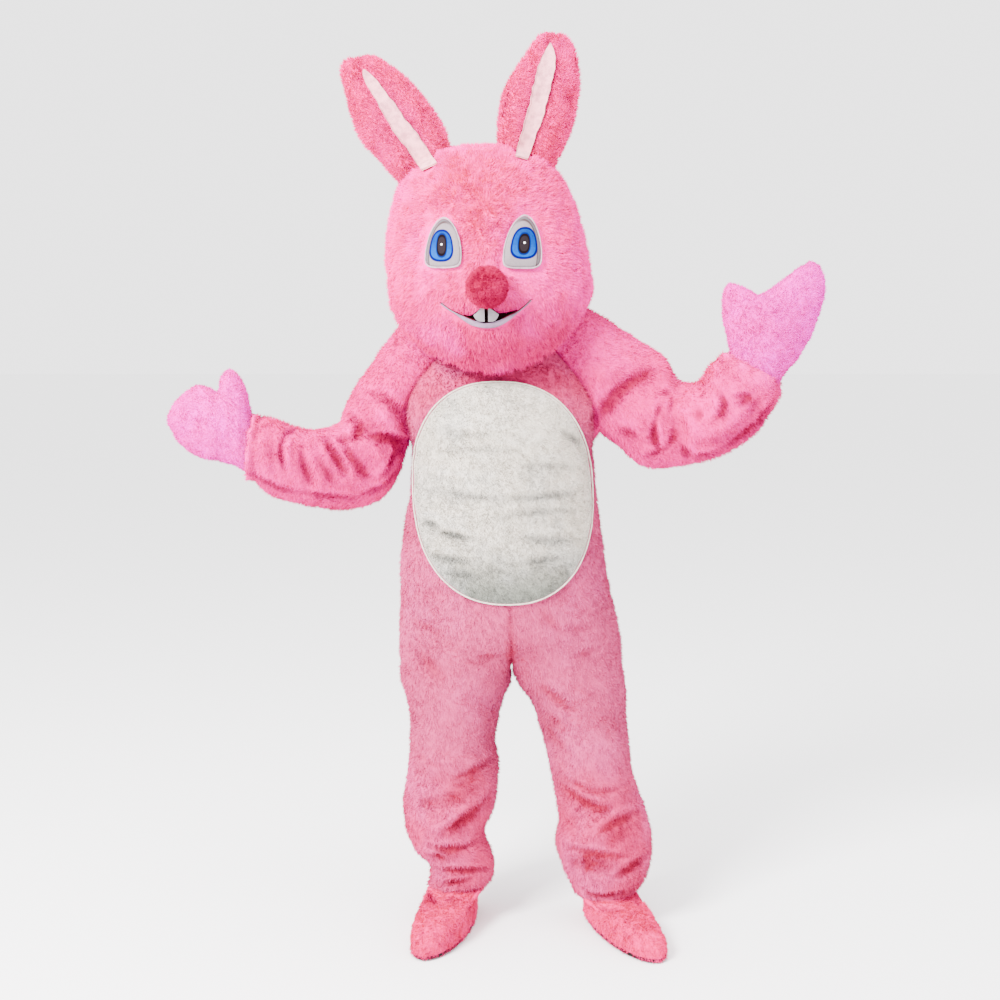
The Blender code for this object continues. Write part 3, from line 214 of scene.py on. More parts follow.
@dataclass
class Folds:
    """Creases seen square on, pressed into the front or the back of a piece.

    Each row gives both ends of a crease, the bow of its middle, its width and its depth. The
    section is a soft trough with a lower roll along its upper side.
    """

    front: Optional[Table] = None
    back: Optional[Table] = None
    roll: float = 0.5

    def depth(self, points: Array, normals: Array) -> Array:
        """How far every point is pressed in: the troughs less the rolls, faded at crease ends.

        Args:
            points: places on the cloth, in heights above the floor.
            normals: the cloth's normals there.

        Returns:
            Depth in metres for each point.
        """
        total = np.zeros(points.shape[:-1])
        steps = np.linspace(0, 1, 25)
        arch = 4 * steps * (1 - steps)
        sides = ((-1, self.front), (1, self.back))
        creases = [(face, *row) for face, rows in sides if rows for row in zip(*rows.values())]
        for face, x0, z0, x1, z1, bow, width, depth in creases:
            upward = math.copysign(1 / math.hypot(x1 - x0, z1 - z0), x1 - x0)
            up_x, up_z = (z0 - z1) * upward, (x1 - x0) * upward
            path_x = x0 + (x1 - x0) * steps + bow * arch * up_x
            path_z = z0 + (z1 - z0) * steps + bow * arch * up_z
            near, reach = face * normals[..., 1] > 0, 4 * width
            for place, path in ((points[..., 0], path_x), (points[..., 2], path_z)):
                near &= (place > path.min() - reach) & (place < path.max() + reach)
            if not near.any():
                continue
            across_x, across_z = points[near][:, 0, None] - path_x, points[near][:, 2, None] - path_z
            apart = np.hypot(across_x, across_z)
            nearest, distance = apart.argmin(axis=-1), apart.min(axis=-1)
            rise = np.take_along_axis(across_x * up_x + across_z * up_z, nearest[:, None], -1)[:, 0]
            fade = np.sin(math.pi * (0.05 + 0.9 * steps[nearest]))
            wide = width * (0.5 + 0.5 * fade)
            facing = np.clip(face * normals[near][:, 1] * 2, 0, 1)
            trough = 0.72 * bell(distance, wide) + 0.28 * bell(distance, 2.6 * wide)
            ridge = self.roll * bell(distance - 2.2 * wide, wide) * (rise > 0)
            total[near] += facing * fade * depth * (trough - ridge)
        return total


@dataclass
class Cloth:
    """A grid of cloth: its points, which way is out, and how deep in a fold each point lies."""

    points: Array
    outward: float
    wrapped: bool = False
    fold: Optional[Array] = None

    def __post_init__(self) -> None:
        """Starts with no folds."""
        if self.fold is None:
            self.fold = np.zeros(self.points.shape[:-1])

    @classmethod
    def facing(cls, points: Array, way: float, wrapped: bool = False) -> "Cloth":
        """Cloth whose middle looks along Y, to the front (-1) or to the back (1)."""
        cloth = cls(points, 1.0, wrapped)
        cloth.outward = float(way * np.sign(cloth.normals()[len(points) // 2, points.shape[1] // 2, 1]))
        return cloth

    def normals(self) -> Array:
        """Outward unit normals of the grid."""
        return grid_normals(self.points, self.wrapped, self.outward)

    def press(self, depth: Array, shade: float = 0.010) -> "Cloth":
        """Moves the points in by a depth, and notes the deep ones for the finish to paint shade in, and those
        lifted out for its painted highlight.
        """
        self.points = self.points - self.normals() * depth[..., None]
        self.fold = np.clip(self.fold + depth / shade, -1, 1)
        return self

    def crease(self, folds: Folds, fade: Number = 1.0) -> "Cloth":
        """Presses a set of folds into the cloth, noted for painted shade."""
        return self.press(folds.depth(self.points, self.normals()) * fade)

    def rumple(self, height: float, size: float, seed: int, stretch: Colour = (1, 1, 1)) -> "Cloth":
        """Lifts and sinks the cloth by soft noise of one size, longer along stretched axes, with faint
        painted shade in the dips and painted highlight on the rises.
        """
        noise = lattice_noise(self.points / np.array(stretch), size, seed)
        return self.press(height * noise, 4 * height + 0.004)

    def inset(self, by: float) -> "Cloth":
        """Moves the whole cloth in, to leave room for its pile."""
        self.points = self.points - self.normals() * by
        return self

    def run(self) -> Array:
        """Distance of each point from the first row, straight across."""
        return np.linalg.norm(self.points - self.points[:1], axis=-1)

    def shut(self, grid: Array) -> Array:
        """A grid of values with its first column again at its end, where the cloth is wrapped."""
        return np.concatenate([grid, grid[:, :1]], axis=1) if self.wrapped else grid

    def cell_areas(self) -> Array:
        """Area of every cell of the grid, from its diagonals."""
        points = self.shut(self.points)
        one, two = points[1:, 1:] - points[:-1, :-1], points[1:, :-1] - points[:-1, 1:]
        return np.linalg.norm(np.cross(one, two), axis=-1).ravel() / 2


def edge_groove(points: Array, columns: Sequence[int], width: float, depth: float) -> Array:
    """Depth of the valley at sewn side edges: a bell over the distance along each row.

    Args:
        points: the grid.
        columns: 0 for the first edge, -1 for the last.
        width: reach of the valley.
        depth: its depth at the seam.

    Returns:
        Depth for each point.
    """
    steps = np.linalg.norm(np.diff(points, axis=1), axis=-1)
    run = np.concatenate([np.zeros((len(points), 1)), np.cumsum(steps, axis=1)], axis=1)
    return sum(depth * bell(run - run[:, column][:, None], width) for column in columns)


# ---------------------------------------------------------------- shader maths


def operator(operation: str, swapped: bool = False) -> Callable[["Signal", Union["Signal", float]], "Signal"]:
    """An operator's method: one Math node over both values, swapped for a reflected one."""

    def method(self: "Signal", other: Union["Signal", float]) -> "Signal":
        """The Math node's result."""
        return self.recipe.number(operation, other, self) if swapped else self.math(operation, other)

    return method


class Signal:
    """A number socket that formulas can be written with; each operator adds one Math node."""

    def __init__(self, recipe: "Recipe", socket: bpy.types.NodeSocket) -> None:
        """Wraps an output socket of a recipe's tree."""
        self.recipe, self.socket = recipe, socket

    __add__ = __radd__ = operator("ADD")
    __mul__ = __rmul__ = operator("MULTIPLY")
    __sub__, __rsub__ = operator("SUBTRACT"), operator("SUBTRACT", swapped=True)
    __truediv__, __pow__ = operator("DIVIDE"), operator("POWER")

    def math(self, operation: str, *others: Union["Signal", float]) -> "Signal":
        """Any Math operation on this value and others."""
        return self.recipe.number(operation, self, *others)

    def size(self) -> "Signal":
        """Without its sign."""
        return self.math("ABSOLUTE")

    def clipped(self) -> "Signal":
        """Kept between 0 and 1."""
        return self.math("MAXIMUM", 0.0).math("MINIMUM", 1.0)

    def ramp(self, low: float, high: float) -> "Signal":
        """Rises from 0 at low to 1 at high, eased at both ends."""
        inputs = {"Value": self, "From Min": low, "From Max": high, "To Min": 0.0, "To Max": 1.0}
        made = self.recipe.node("ShaderNodeMapRange", {"interpolation_type": "SMOOTHSTEP"}, inputs)
        return Signal(self.recipe, made.outputs["Result"])


Input = Union[Signal, bpy.types.NodeSocket, float, Sequence[float]]


class Recipe:
    """Builds one material's nodes."""

    def __init__(self, name: str) -> None:
        """Starts a material with a Principled shader."""
        self.material = bpy.data.materials.new(name)
        self.material.use_nodes = True
        self.tree = self.material.node_tree
        self.shader = self.tree.nodes["Principled BSDF"]
        self.place = self.node("ShaderNodeTexCoord").outputs["Object"]

    def node(
        self, kind: str, settings: Optional[dict] = None, inputs: Optional[dict] = None
    ) -> bpy.types.Node:
        """Adds a node.

        Args:
            kind: the node's type.
            settings: properties, set first.
            inputs: values or links by socket name or number.

        Returns:
            The node.
        """
        made = self.tree.nodes.new(kind)
        for name, value in (settings or {}).items():
            setattr(made, name, value)
        for name, value in (inputs or {}).items():
            self.feed(made.inputs[name], value)
        return made

    def feed(self, socket: bpy.types.NodeSocket, value: Input) -> None:
        """Links or sets one input."""
        value = getattr(value, "socket", value)
        if isinstance(value, bpy.types.NodeSocket):
            self.tree.links.new(value, socket)
        elif isinstance(value, (int, float)):
            socket.default_value = value
        else:
            size = len(socket.default_value)
            socket.default_value = (*value, 1.0) if len(value) < size else tuple(value)

    def number(self, operation: str, *values: Union[Signal, float]) -> Signal:
        """A Math node over values."""
        made = self.node("ShaderNodeMath", {"operation": operation}, dict(enumerate(values)))
        return Signal(self, made.outputs[0])

    def noise(self, scale: float, detail: float = 2.0, stretch: Optional[Colour] = None) -> Signal:
        """Noise over the piece, between about 0 and 1, finer along the larger parts of stretch."""
        place = self.place
        if stretch:
            place = self.node("ShaderNodeMapping", inputs={"Vector": place, "Scale": stretch}).outputs[0]
        inputs = {"Vector": place, "Scale": scale, "Detail": detail, "Roughness": 0.6}
        return Signal(self, self.node("ShaderNodeTexNoise", inputs=inputs).outputs[0])

    def attribute(self, name: str) -> Signal:
        """A number that the mesh carries at its points."""
        return Signal(self, self.node("ShaderNodeAttribute", {"attribute_name": name}).outputs["Fac"])

    def axis(self, name: str, place: Optional[bpy.types.NodeSocket] = None) -> Signal:
        """One coordinate of a place, by default the piece's own."""
        made = self.node("ShaderNodeSeparateXYZ", inputs={0: place or self.place})
        return Signal(self, made.outputs[name])

    def cut_map(self) -> tuple[Signal, Signal]:
        """Both coordinates of the piece's own flat map."""
        place = self.node("ShaderNodeUVMap", {"uv_map": "cut"}).outputs[0]
        return self.axis("X", place), self.axis("Y", place)

    def wave(self, name: str, pace: float) -> Signal:
        """Sine along one of the piece's own axes."""
        return (self.axis(name) * pace).math("SINE")

    def mix(self, share: Union[Signal, float], first: Input, second: Input) -> bpy.types.NodeSocket:
        """Mixes two colours: the first at share 0, the second at share 1."""
        made = self.node("ShaderNodeMix", {"data_type": "RGBA"}, {0: share, 6: first, 7: second})
        return made.outputs[2]

    def bump(self, height: Signal, strength: float, distance: float) -> None:
        """Relief from a height in the shader's own Normal."""
        inputs = {"Height": height, "Strength": strength, "Distance": distance}
        self.feed(self.shader.inputs["Normal"], self.node("ShaderNodeBump", inputs=inputs).outputs[0])

    def set(self, **values: Input) -> bpy.types.Material:
        """Sets the shader's sockets, named with _ for a space, and returns the material."""
        for name, value in values.items():
            self.feed(self.shader.inputs[name.replace("_", " ")], value)
        return self.material


# ---------------------------------------------------------------- finishes


class Finish:
    """A finish makes its material once, when it is first asked for."""

    made: dict[str, bpy.types.Material] = {}

    def material(self) -> bpy.types.Material:
        """The finish's material."""
        name = getattr(self, "name")
        if name not in Finish.made:
            Finish.made[name] = self.build(Recipe(name))
        return Finish.made[name]

    def build(self, recipe: Recipe) -> bpy.types.Material:
        """Fills in the recipe."""
        raise NotImplementedError


@dataclass(frozen=True)
class Plush(Finish):
    """Pile fabric: painted shade between the hairs and in folds, pale at the tips, clouded by the nap, with a
    painted highlight on ridges.

    The pile attribute runs from 0 at a hair's root to 1 at its tip, and fold from 0 on open cloth to 1 in a
    crease; below 0 it marks a ridge.
    """

    name: str
    # root, darker than tip, is painted shade between the hairs.
    root: Colour
    tip: Colour
    # deep is painted shade in folds, and also the colour of the crush marks.
    deep: Colour
    # cloud is broad tone that differs at random, and also the painted highlight on ridges.
    cloud: Colour
    cloud_size: float = 5.0
    cloud_share: float = 0.5
    tuft_size: float = 75.0
    tuft_share: float = 0.35
    sheen: float = 0.35
    crush: float = 0.4
    gloss: float = 0.12
    # ends is painted shade below low_end and above high_end, in heights above the floor.
    ends: Optional[Colour] = None
    low_end: tuple[float, float] = (0.22, 0.44)
    high_end: tuple[float, float] = (1.08, 1.24)

    def build(self, recipe: Recipe) -> bpy.types.Material:
        """Tip and root by pile, cloud by broad noise, painted shade in the deep colour by fold, tuft and
        crush marks, and painted highlight on ridges.

        A crush mark is a thin line where noise passes its middle value. The ends' colour is painted shade
        below and above two heights.
        """
        pile, fold = recipe.attribute("pile"), recipe.attribute("fold")
        cloud = recipe.noise(self.cloud_size, 3.0).ramp(0.42, 0.66) * self.cloud_share
        tuft = recipe.noise(self.tuft_size, 3.0)
        tip = recipe.mix(cloud, self.tip, self.cloud)
        height = (pile + (tuft - 0.5) * self.tuft_share * 2).clipped()
        colour = recipe.mix(height, self.root, tip)
        # Painted shade toward the ends of the piece, low and high.
        if self.ends:
            up = recipe.axis("Z") + NECK_HEIGHT
            end = 1 - up.ramp(*self.low_end) + up.ramp(*self.high_end)
            colour = recipe.mix(end * 0.85, colour, recipe.mix(cloud, self.ends, self.cloud))
        mark = 1 - (recipe.noise(30.0, 4.0, (1.0, 1.0, 1.5)) - 0.5).size().ramp(0.004, 0.034)
        crushed = mark * recipe.noise(8.0, 2.0).ramp(0.44, 0.60) * self.crush
        # Painted shade in folds, in the deep colour, laid on together with the crush marks.
        hollow = fold.clipped() ** 1.15 * 0.95
        colour = recipe.mix((hollow + crushed).clipped(), colour, self.deep)
        # Painted highlight on ridges, where fold is below 0, in the cloud colour.
        colour = recipe.mix((fold * -0.9).clipped(), colour, self.cloud)
        recipe.bump(recipe.noise(self.tuft_size * 4, 2.0) + tuft * 2, 0.5, 0.003)
        return recipe.set(
            Base_Color=colour, Roughness=0.95, Specular_IOR_Level=self.gloss, Sheen_Weight=self.sheen,
            Sheen_Roughness=0.45, Sheen_Tint=self.tip
        )


@dataclass(frozen=True)
class Felt(Finish):
    """Matted fibre: one colour with soft blotches and a fine hairy relief."""

    name: str
    base: Colour
    blotch: Colour
    size: float = 40.0
    sheen: float = 0.25

    def build(self, recipe: Recipe) -> bpy.types.Material:
        """Blotches by broad noise, darker specks by fine noise."""
        blotch, fibre = recipe.noise(self.size, 4.0), recipe.noise(self.size * 12, 3.0)
        colour = recipe.mix(blotch.ramp(0.35, 0.7), self.base, self.blotch)
        colour = recipe.mix((fibre - 0.35).clipped() * 0.5, colour, [0.8 * part for part in self.blotch])
        recipe.bump(fibre + blotch * 0.6, 0.45, 0.0012)
        return recipe.set(Base_Color=colour, Roughness=0.9, Specular_IOR_Level=0.1, Sheen_Weight=self.sheen)


@dataclass(frozen=True)
class Backing(Finish):
    """Knitted back of the plush: fine ribs, paler than the pile."""

    name: str
    base: Colour
    rib: Colour

    def build(self, recipe: Recipe) -> bpy.types.Material:
        """Ribs and courses from sines of the width and height, broken by noise."""
        rib, course = recipe.wave("X", 2600.0) * 0.5 + 0.5, recipe.wave("Z", 2100.0) * 0.5 + 0.5
        knit = (rib * course + recipe.noise(90.0) * 0.5).clipped()
        recipe.bump(knit, 0.4, 0.0008)
        return recipe.set(Base_Color=recipe.mix(knit, self.rib, self.base), Roughness=0.92)


@dataclass(frozen=True)
class Moulded(Finish):
    """Painted or moulded plastic with faint brush marks and small unevenness."""

    name: str
    base: Colour
    shade: Colour
    roughness: float = 0.4
    relief: float = 0.15

    def build(self, recipe: Recipe) -> bpy.types.Material:
        """Shade by broad noise, gloss by fine noise."""
        broad, fine = recipe.noise(28.0, 3.0), recipe.noise(220.0, 2.0)
        recipe.bump(fine + broad, self.relief, 0.0008)
        colour = recipe.mix(broad.ramp(0.35, 0.7), self.base, self.shade)
        rough = fine * 0.2 + (self.roughness - 0.1)
        return recipe.set(Base_Color=colour, Roughness=rough, Specular_IOR_Level=0.2)


@dataclass(frozen=True)
class Sole(Finish):
    """Dark non-slip sole with small round studs and scuffs."""

    name: str
    base: Colour
    scuff: Colour

    def build(self, recipe: Recipe) -> bpy.types.Material:
        """Studs from the cell distance, scuffs by stretched noise."""
        cells = recipe.node("ShaderNodeTexVoronoi", inputs={"Vector": recipe.place, "Scale": 160.0})
        stud = 1 - Signal(recipe, cells.outputs["Distance"]).ramp(0.2, 0.5)
        worn = recipe.noise(30.0, 4.0, (1, 3, 1)).ramp(0.5, 0.75)
        recipe.bump(stud, 0.6, 0.001)
        colour = recipe.mix(worn * 0.5 + stud * 0.2, self.base, self.scuff)
        return recipe.set(Base_Color=colour, Roughness=0.85 - worn * 0.15, Specular_IOR_Level=0.1)


@dataclass(frozen=True)
class Mesh(Finish):
    """Dark see-through mesh of the mouth, as small round holes in a weave."""

    name: str
    base: Colour
    thread: Colour

    def build(self, recipe: Recipe) -> bpy.types.Material:
        """Threads where either sine, over the width or the height, is high."""
        weave = recipe.wave("X", 2400.0).math("MAXIMUM", recipe.wave("Z", 2400.0)).ramp(0.2, 0.9)
        recipe.bump(weave, 0.5, 0.0006)
        blotch = recipe.noise(60.0).ramp(0.4, 0.7)
        colour = recipe.mix(weave * (blotch * 0.5 + 0.3), self.base, self.thread)
        return recipe.set(Base_Color=colour, Roughness=0.95, Specular_IOR_Level=0.0)


@dataclass(frozen=True)
class ZipTape(Finish):
    """Woven zip tape with the closed chain down its middle."""

    name: str
    tape: Colour
    chain: Colour

    def build(self, recipe: Recipe) -> bpy.types.Material:
        """The chain where the piece's own u is near its middle, with teeth along v."""
        across, run = recipe.cut_map()
        chain = 1 - (across - 0.5).size().ramp(0.10, 0.16)
        tooth = (run * 1400.0).math("SINE").ramp(-0.4, 0.4) * chain
        weave = (across * 160.0).math("SINE") * (run * 2600.0).math("SINE")
        recipe.bump(tooth + weave * 0.2 * (1 - chain), 0.6, 0.001)
        return recipe.set(Base_Color=recipe.mix(chain, self.tape, self.chain), Roughness=0.8 - chain * 0.3)


@dataclass(frozen=True)
class EyePaint(Finish):
    """Painted eye: pale ground, outlined iris, pupil with a pale halo, a glint and a lid line.

    The piece's own map runs across the eye and from its foot to its top. An oval is given by
    its middle and its half sizes, as shares of the half width and of the height, and temple is
    the sign of the side away from the nose.
    """

    name: str
    iris: tuple[float, float, float, float]
    pupil: tuple[float, float, float, float]
    glint: tuple[float, float]
    temple: float
    aspect: float

    ground: Colour = (0.200, 0.165, 0.180)
    ground_shade: Colour = (0.095, 0.080, 0.090)
    blue: Colour = (0.0, 0.034, 0.190)
    blue_low: Colour = (0.0, 0.056, 0.270)
    outline: Colour = (0.001, 0.002, 0.075)
    black: Colour = (0.005, 0.003, 0.004)
    grey: Colour = (0.014, 0.010, 0.012)
    halo: Colour = (0.002, 0.010, 0.09)
    line: Colour = (0.030, 0.010, 0.008)
    spark: Colour = (0.95, 0.95, 0.95)

    def oval(self, u: Signal, v: Signal, shape: tuple[float, float, float, float], egg: float) -> Signal:
        """Distance from an arch's middle, 1 on its edge: a squarish oval, wider below its middle."""
        centre_u, centre_v, half_u, half_v = shape
        up = (v - centre_v) / half_v
        across = (u - centre_u) / half_u * (1 + egg * up)
        return (across.size() ** 2.5 + up.size() ** 2.5) ** 0.4

    def lid(self, u: Signal, v: Signal) -> Signal:
        """Distance from the inner arch of the eye, shifted toward the nose: 1 on its line."""
        up = ((v - 0.22) / 0.70).math("MAXIMUM", 0.0)
        across = (u + 0.09 * self.temple) / 0.86
        return (across**2 + up**2) ** 0.5

    def build(self, recipe: Recipe) -> bpy.types.Material:
        """Layers from the ground up, each laid on by its own mask."""
        u, v = recipe.cut_map()
        u = u * 2.0 - 1.0
        iris, pupil = self.oval(u, v, self.iris, 0.20), self.oval(u, v, self.pupil, 0.04)
        inner = self.lid(u, v)
        grain = recipe.noise(260.0).ramp(0.3, 0.7) * 0.25
        shade = (inner.ramp(1.0, 1.04) * 0.75 + grain + v.ramp(0.8, 1.0) * 0.3).clipped()
        lid_line = (1 - (inner - 1.0).size().ramp(0.015, 0.05)) * (u * self.temple).ramp(-0.7, 0.0)
        blue = recipe.mix((v - self.iris[1]).ramp(-0.25, 0.1), self.blue_low, self.blue)
        blue = recipe.mix(recipe.noise(180.0).ramp(0.45, 0.7) * 0.25, blue, self.outline)
        spot = ((u - self.glint[0]) ** 2 + ((v - self.glint[1]) * self.aspect) ** 2) ** 0.5
        colour = recipe.mix(shade, self.ground, self.ground_shade)
        layers = (
            (lid_line * 0.8, self.line), (1 - iris.ramp(0.98, 1.04), self.outline),
            (1 - iris.ramp(0.84, 0.90), blue), (1 - pupil.ramp(1.10, 1.22), self.halo),
            (1 - pupil.ramp(0.98, 1.06), self.black), (1 - pupil.ramp(0.72, 0.84), self.grey),
            (1 - spot.ramp(0.045, 0.07), self.spark),
        )
        for mask, paint in layers:
            colour = recipe.mix(mask, colour, paint)
        recipe.bump(recipe.noise(320.0), 0.10, 0.0005)
        return recipe.set(Base_Color=colour, Roughness=0.6 + recipe.noise(90.0) * 0.1, Specular_IOR_Level=0.0)


# In each Plush, root and deep are painted shade; ends is painted shade on the shins and upper trunk of the
# suit, the lower head, and the lower part of the belly patch.
PINK_NAP = Plush(
    "plush_pink", (0.38, 0.034, 0.110), (0.47, 0.046, 0.158), (0.23, 0.002, 0.026), (0.60, 0.072, 0.270),
    ends=(0.46, 0.012, 0.095)
)
ARM_NAP = Plush(
    "plush_pink_sleeve",
    (0.56, 0.003, 0.140), (0.68, 0.004, 0.205), (0.20, 0.001, 0.028), (0.86, 0.012, 0.37),
    sheen=0.2, gloss=0.02
)
MITTEN_NAP = Plush(
    "plush_pink_mitten", (0.70, 0.002, 0.36), (0.78, 0.003, 0.43), (0.46, 0.001, 0.13), (0.85, 0.008, 0.70),
    4.0, 0.6, sheen=0.2, crush=0.2, gloss=0.02
)
FOOT_NAP = Plush(
    "plush_pink_foot", (0.62, 0.006, 0.115), (0.76, 0.010, 0.165), (0.25, 0.001, 0.032), (0.88, 0.03, 0.24),
    sheen=0.2, gloss=0.02
)
HEAD_PILE = Plush(
    "plush_hot_pink", (0.79, 0.004, 0.230), (0.92, 0.007, 0.290), (0.42, 0.001, 0.060), (0.95, 0.012, 0.44),
    5.0, 0.7, 95.0, 0.3, 0.2, 0.12, 0.02, (0.54, 0.0, 0.105), (1.29, 1.46), (9.0, 10.0)
)
EAR_PILE = Plush(
    "plush_hot_pink_ear",
    (0.68, 0.001, 0.170), (0.77, 0.002, 0.205), (0.40, 0.001, 0.065), (0.88, 0.012, 0.36),
    4.0, 0.6, 60.0, 0.15, 0.15, 0.12, 0.02
)
NOSE_PILE = Plush(
    "plush_red_pink", (0.27, 0.0, 0.032), (0.39, 0.0, 0.058), (0.18, 0.0, 0.016), (0.52, 0.0, 0.10),
    30.0, 0.5, 160.0, 0.4, 0.0, 0.1, 0.0
)
WHITE_NAP = Plush(
    "plush_white", (0.48, 0.435, 0.37), (0.56, 0.505, 0.435), (0.10, 0.10, 0.09), (0.50, 0.50, 0.50),
    9.0, 0.45, 60.0, 0.3, 0.1, 0.35, ends=(0.105, 0.124, 0.101), low_end=(0.75, 0.90), high_end=(9.0, 10.0)
)
KNIT = Backing("knit_backing", (0.50, 0.20, 0.28), (0.40, 0.13, 0.20))
FOAM = Felt("head_foam", (0.55, 0.50, 0.40), (0.45, 0.38, 0.28), 70.0, 0.0)
STRIP_FELT = Felt("strip_cream", (0.80, 0.34, 0.38), (0.50, 0.20, 0.24), 70.0, 0.1)
RIM_FELT = Felt("felt_white", (0.36, 0.30, 0.34), (0.24, 0.18, 0.21), 60.0)
WELT_FELT = Felt("felt_welt", (0.60, 0.55, 0.48), (0.46, 0.38, 0.33), 90.0, 0.1)
STITCHING = Felt("stitching_red", (0.10, 0.001, 0.012), (0.06, 0.001, 0.008), 200.0, 0.0)
LIP = Moulded("lip_lilac", (0.24, 0.155, 0.24), (0.13, 0.075, 0.125), 0.6)
TOOTH = Moulded("tooth", (0.20, 0.17, 0.19), (0.14, 0.12, 0.13), 0.45, 0.08)
MOUTH_MESH = Mesh("mesh_dark", (0.002, 0.0006, 0.0008), (0.010, 0.0015, 0.002))
ZIP = ZipTape("zip_tape", (0.45, 0.05, 0.14), (0.28, 0.18, 0.20))
SOLE_RUBBER = Sole("sole_dark", (0.010, 0.006, 0.006), (0.035, 0.024, 0.022))


# ---------------------------------------------------------------- meshes


def grid_cells(number: Array) -> Array:
    """Quads between the rows and columns of a grid of corner numbers."""
    return np.stack([number[:-1, :-1], number[:-1, 1:], number[1:, 1:], number[1:, :-1]], -1).reshape(-1, 4)


def wall_cells(rows: int, columns: int, wrapped: bool, plate: bool) -> tuple[Array, Array]:
    """Quads of a closed wall: the outer grid, numbered first, the inner grid and the edge strips.

    Args:
        rows: rows of each grid.
        columns: columns of each grid.
        wrapped: whether the last column meets the first.
        plate: whether the edge strips face out; those of a cloth wall face in.

    Returns:
        The quads, and for each whether it belongs to the inside of the cloth.
    """
    offset = rows * columns
    number = np.arange(offset).reshape(rows, columns)
    if wrapped:
        number = np.concatenate([number, number[:, :1]], axis=1)
    outer = grid_cells(number)
    edges = [(number[0, 1:], number[0, :-1]), (number[-1, :-1], number[-1, 1:])]
    if not wrapped:
        edges += [(number[:-1, 0], number[1:, 0]), (number[1:, -1], number[:-1, -1])]
    strips = np.concatenate([
        np.stack([start, start + offset, end + offset, end], -1) for start, end in edges
    ])
    cells = np.concatenate([outer, outer[:, ::-1] + offset, strips[:, ::-1] if plate else strips])
    place = np.arange(len(cells))
    return cells, (place >= len(outer)) & (place < 2 * len(outer))


def face_out(points: Array, cells: Array) -> Array:
    """Turns a closed piece's quads round if they face in, by the sign of its volume."""
    first, second, third, fourth = (points[cells[:, corner]] for corner in range(4))
    volume = (first * (np.cross(second, third) + np.cross(third, fourth))).sum()
    return cells if volume > 0 else cells[:, ::-1]


def add_mesh(
    name: str, points: Array, cells: Array, finishes: Sequence[Finish]
) -> bpy.types.Object:
    """Makes a piece from points and equal-sided cells, and dresses it.

    Args:
        name: the piece's name.
        points: count by 3, in heights above the floor.
        cells: count by 3 or 4 corner numbers.
        finishes: materials in slot order.

    Returns:
        The piece, riding on the root.
    """
    placed = points.reshape(-1, 3) - np.array([0, 0, NECK_HEIGHT])
    mesh = bpy.data.meshes.new(name)
    mesh.vertices.add(len(placed))
    mesh.vertices.foreach_set("co", placed.ravel())
    mesh.loops.add(cells.size)
    mesh.loops.foreach_set("vertex_index", cells.ravel().astype(np.int32))
    mesh.polygons.add(len(cells))
    mesh.polygons.foreach_set("loop_start", np.arange(len(cells), dtype=np.int32) * cells.shape[1])
    mesh.update(calc_edges=True)
    mesh.shade_smooth()
    for finish in finishes:
        mesh.materials.append(finish.material())
    made = bpy.data.objects.new(name, mesh)
    bpy.context.scene.collection.objects.link(made)
    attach(made, "root")
    LOG.info("%s: %d cells", name, len(cells))
    return made


def carry(made: bpy.types.Object, name: str, values: Array) -> None:
    """Puts one number at each point of a piece."""
    layer = made.data.attributes.new(name, "FLOAT", "POINT")
    layer.data.foreach_set("value", values.ravel().astype(np.float32))


def map_points(made: bpy.types.Object, u: Array, v: Array) -> None:
    """Puts a flat map, the same on both faces of a wall, on a piece under the name cut."""
    loops = np.empty(len(made.data.loops), np.int32)
    made.data.loops.foreach_get("vertex_index", loops)
    uv = np.tile(np.stack([u.ravel(), v.ravel()], -1), (2, 1))
    layer = made.data.uv_layers.new(name="cut")
    layer.data.foreach_set("uv", uv[loops].ravel().astype(np.float32))


def add_wall(
    name: str, outer: Array, inner: Array, finish: Finish, slot: str, wrapped: bool = False,
    lining: Optional[Finish] = None, plate: bool = False
) -> bpy.types.Object:
    """A closed piece between two grids of the same size: a wall, or a plate of rings round a hub.

    Args:
        name: the piece's name.
        outer: grid of the outer face.
        inner: grid of the inner face.
        finish: finish of the outside.
        slot: not used.
        wrapped: whether the last column meets the first.
        lining: finish of the inside, or None for the same.
        plate: whether it is a plate, of rings round a tiny middle one; a plate is wrapped.

    Returns:
        The piece.
    """
    points = np.concatenate([outer.reshape(-1, 3), inner.reshape(-1, 3)])
    cells, inside = wall_cells(*outer.shape[:2], wrapped or plate, plate)
    made = add_mesh(name, points, face_out(points, cells), [finish, lining] if lining else [finish])
    if lining:
        made.data.polygons.foreach_set("material_index", inside.astype(np.int32))
    carry(made, "pile", np.full(len(points), PILE_REST))
    return made


def add_cloth(
    name: str, cloth: Cloth, finish: Finish, slot: str, wall: Number = WALL, lining: Optional[Finish] = None
) -> bpy.types.Object:
    """A closed cloth wall: the grid outside, and the same grid moved in by the wall inside.

    Args:
        name: the piece's name.
        cloth: its outer surface.
        finish: finish of the outside.
        slot: handed to add_wall, which does not use it.
        wall: thickness, one for the whole piece or one for each point.
        lining: finish of the inside, or None for the same.

    Returns:
        The piece.
    """
    inner = cloth.points - cloth.normals() * np.asarray(wall)[..., None]
    made = add_wall(name, cloth.points, inner, finish, slot, cloth.wrapped, lining)
    carry(made, "fold", np.stack([cloth.fold, np.zeros_like(cloth.fold)]))
    v, u = np.meshgrid(*(np.linspace(0, 1, count) for count in cloth.fold.shape), indexing="ij")
    map_points(made, u, v)
    return made


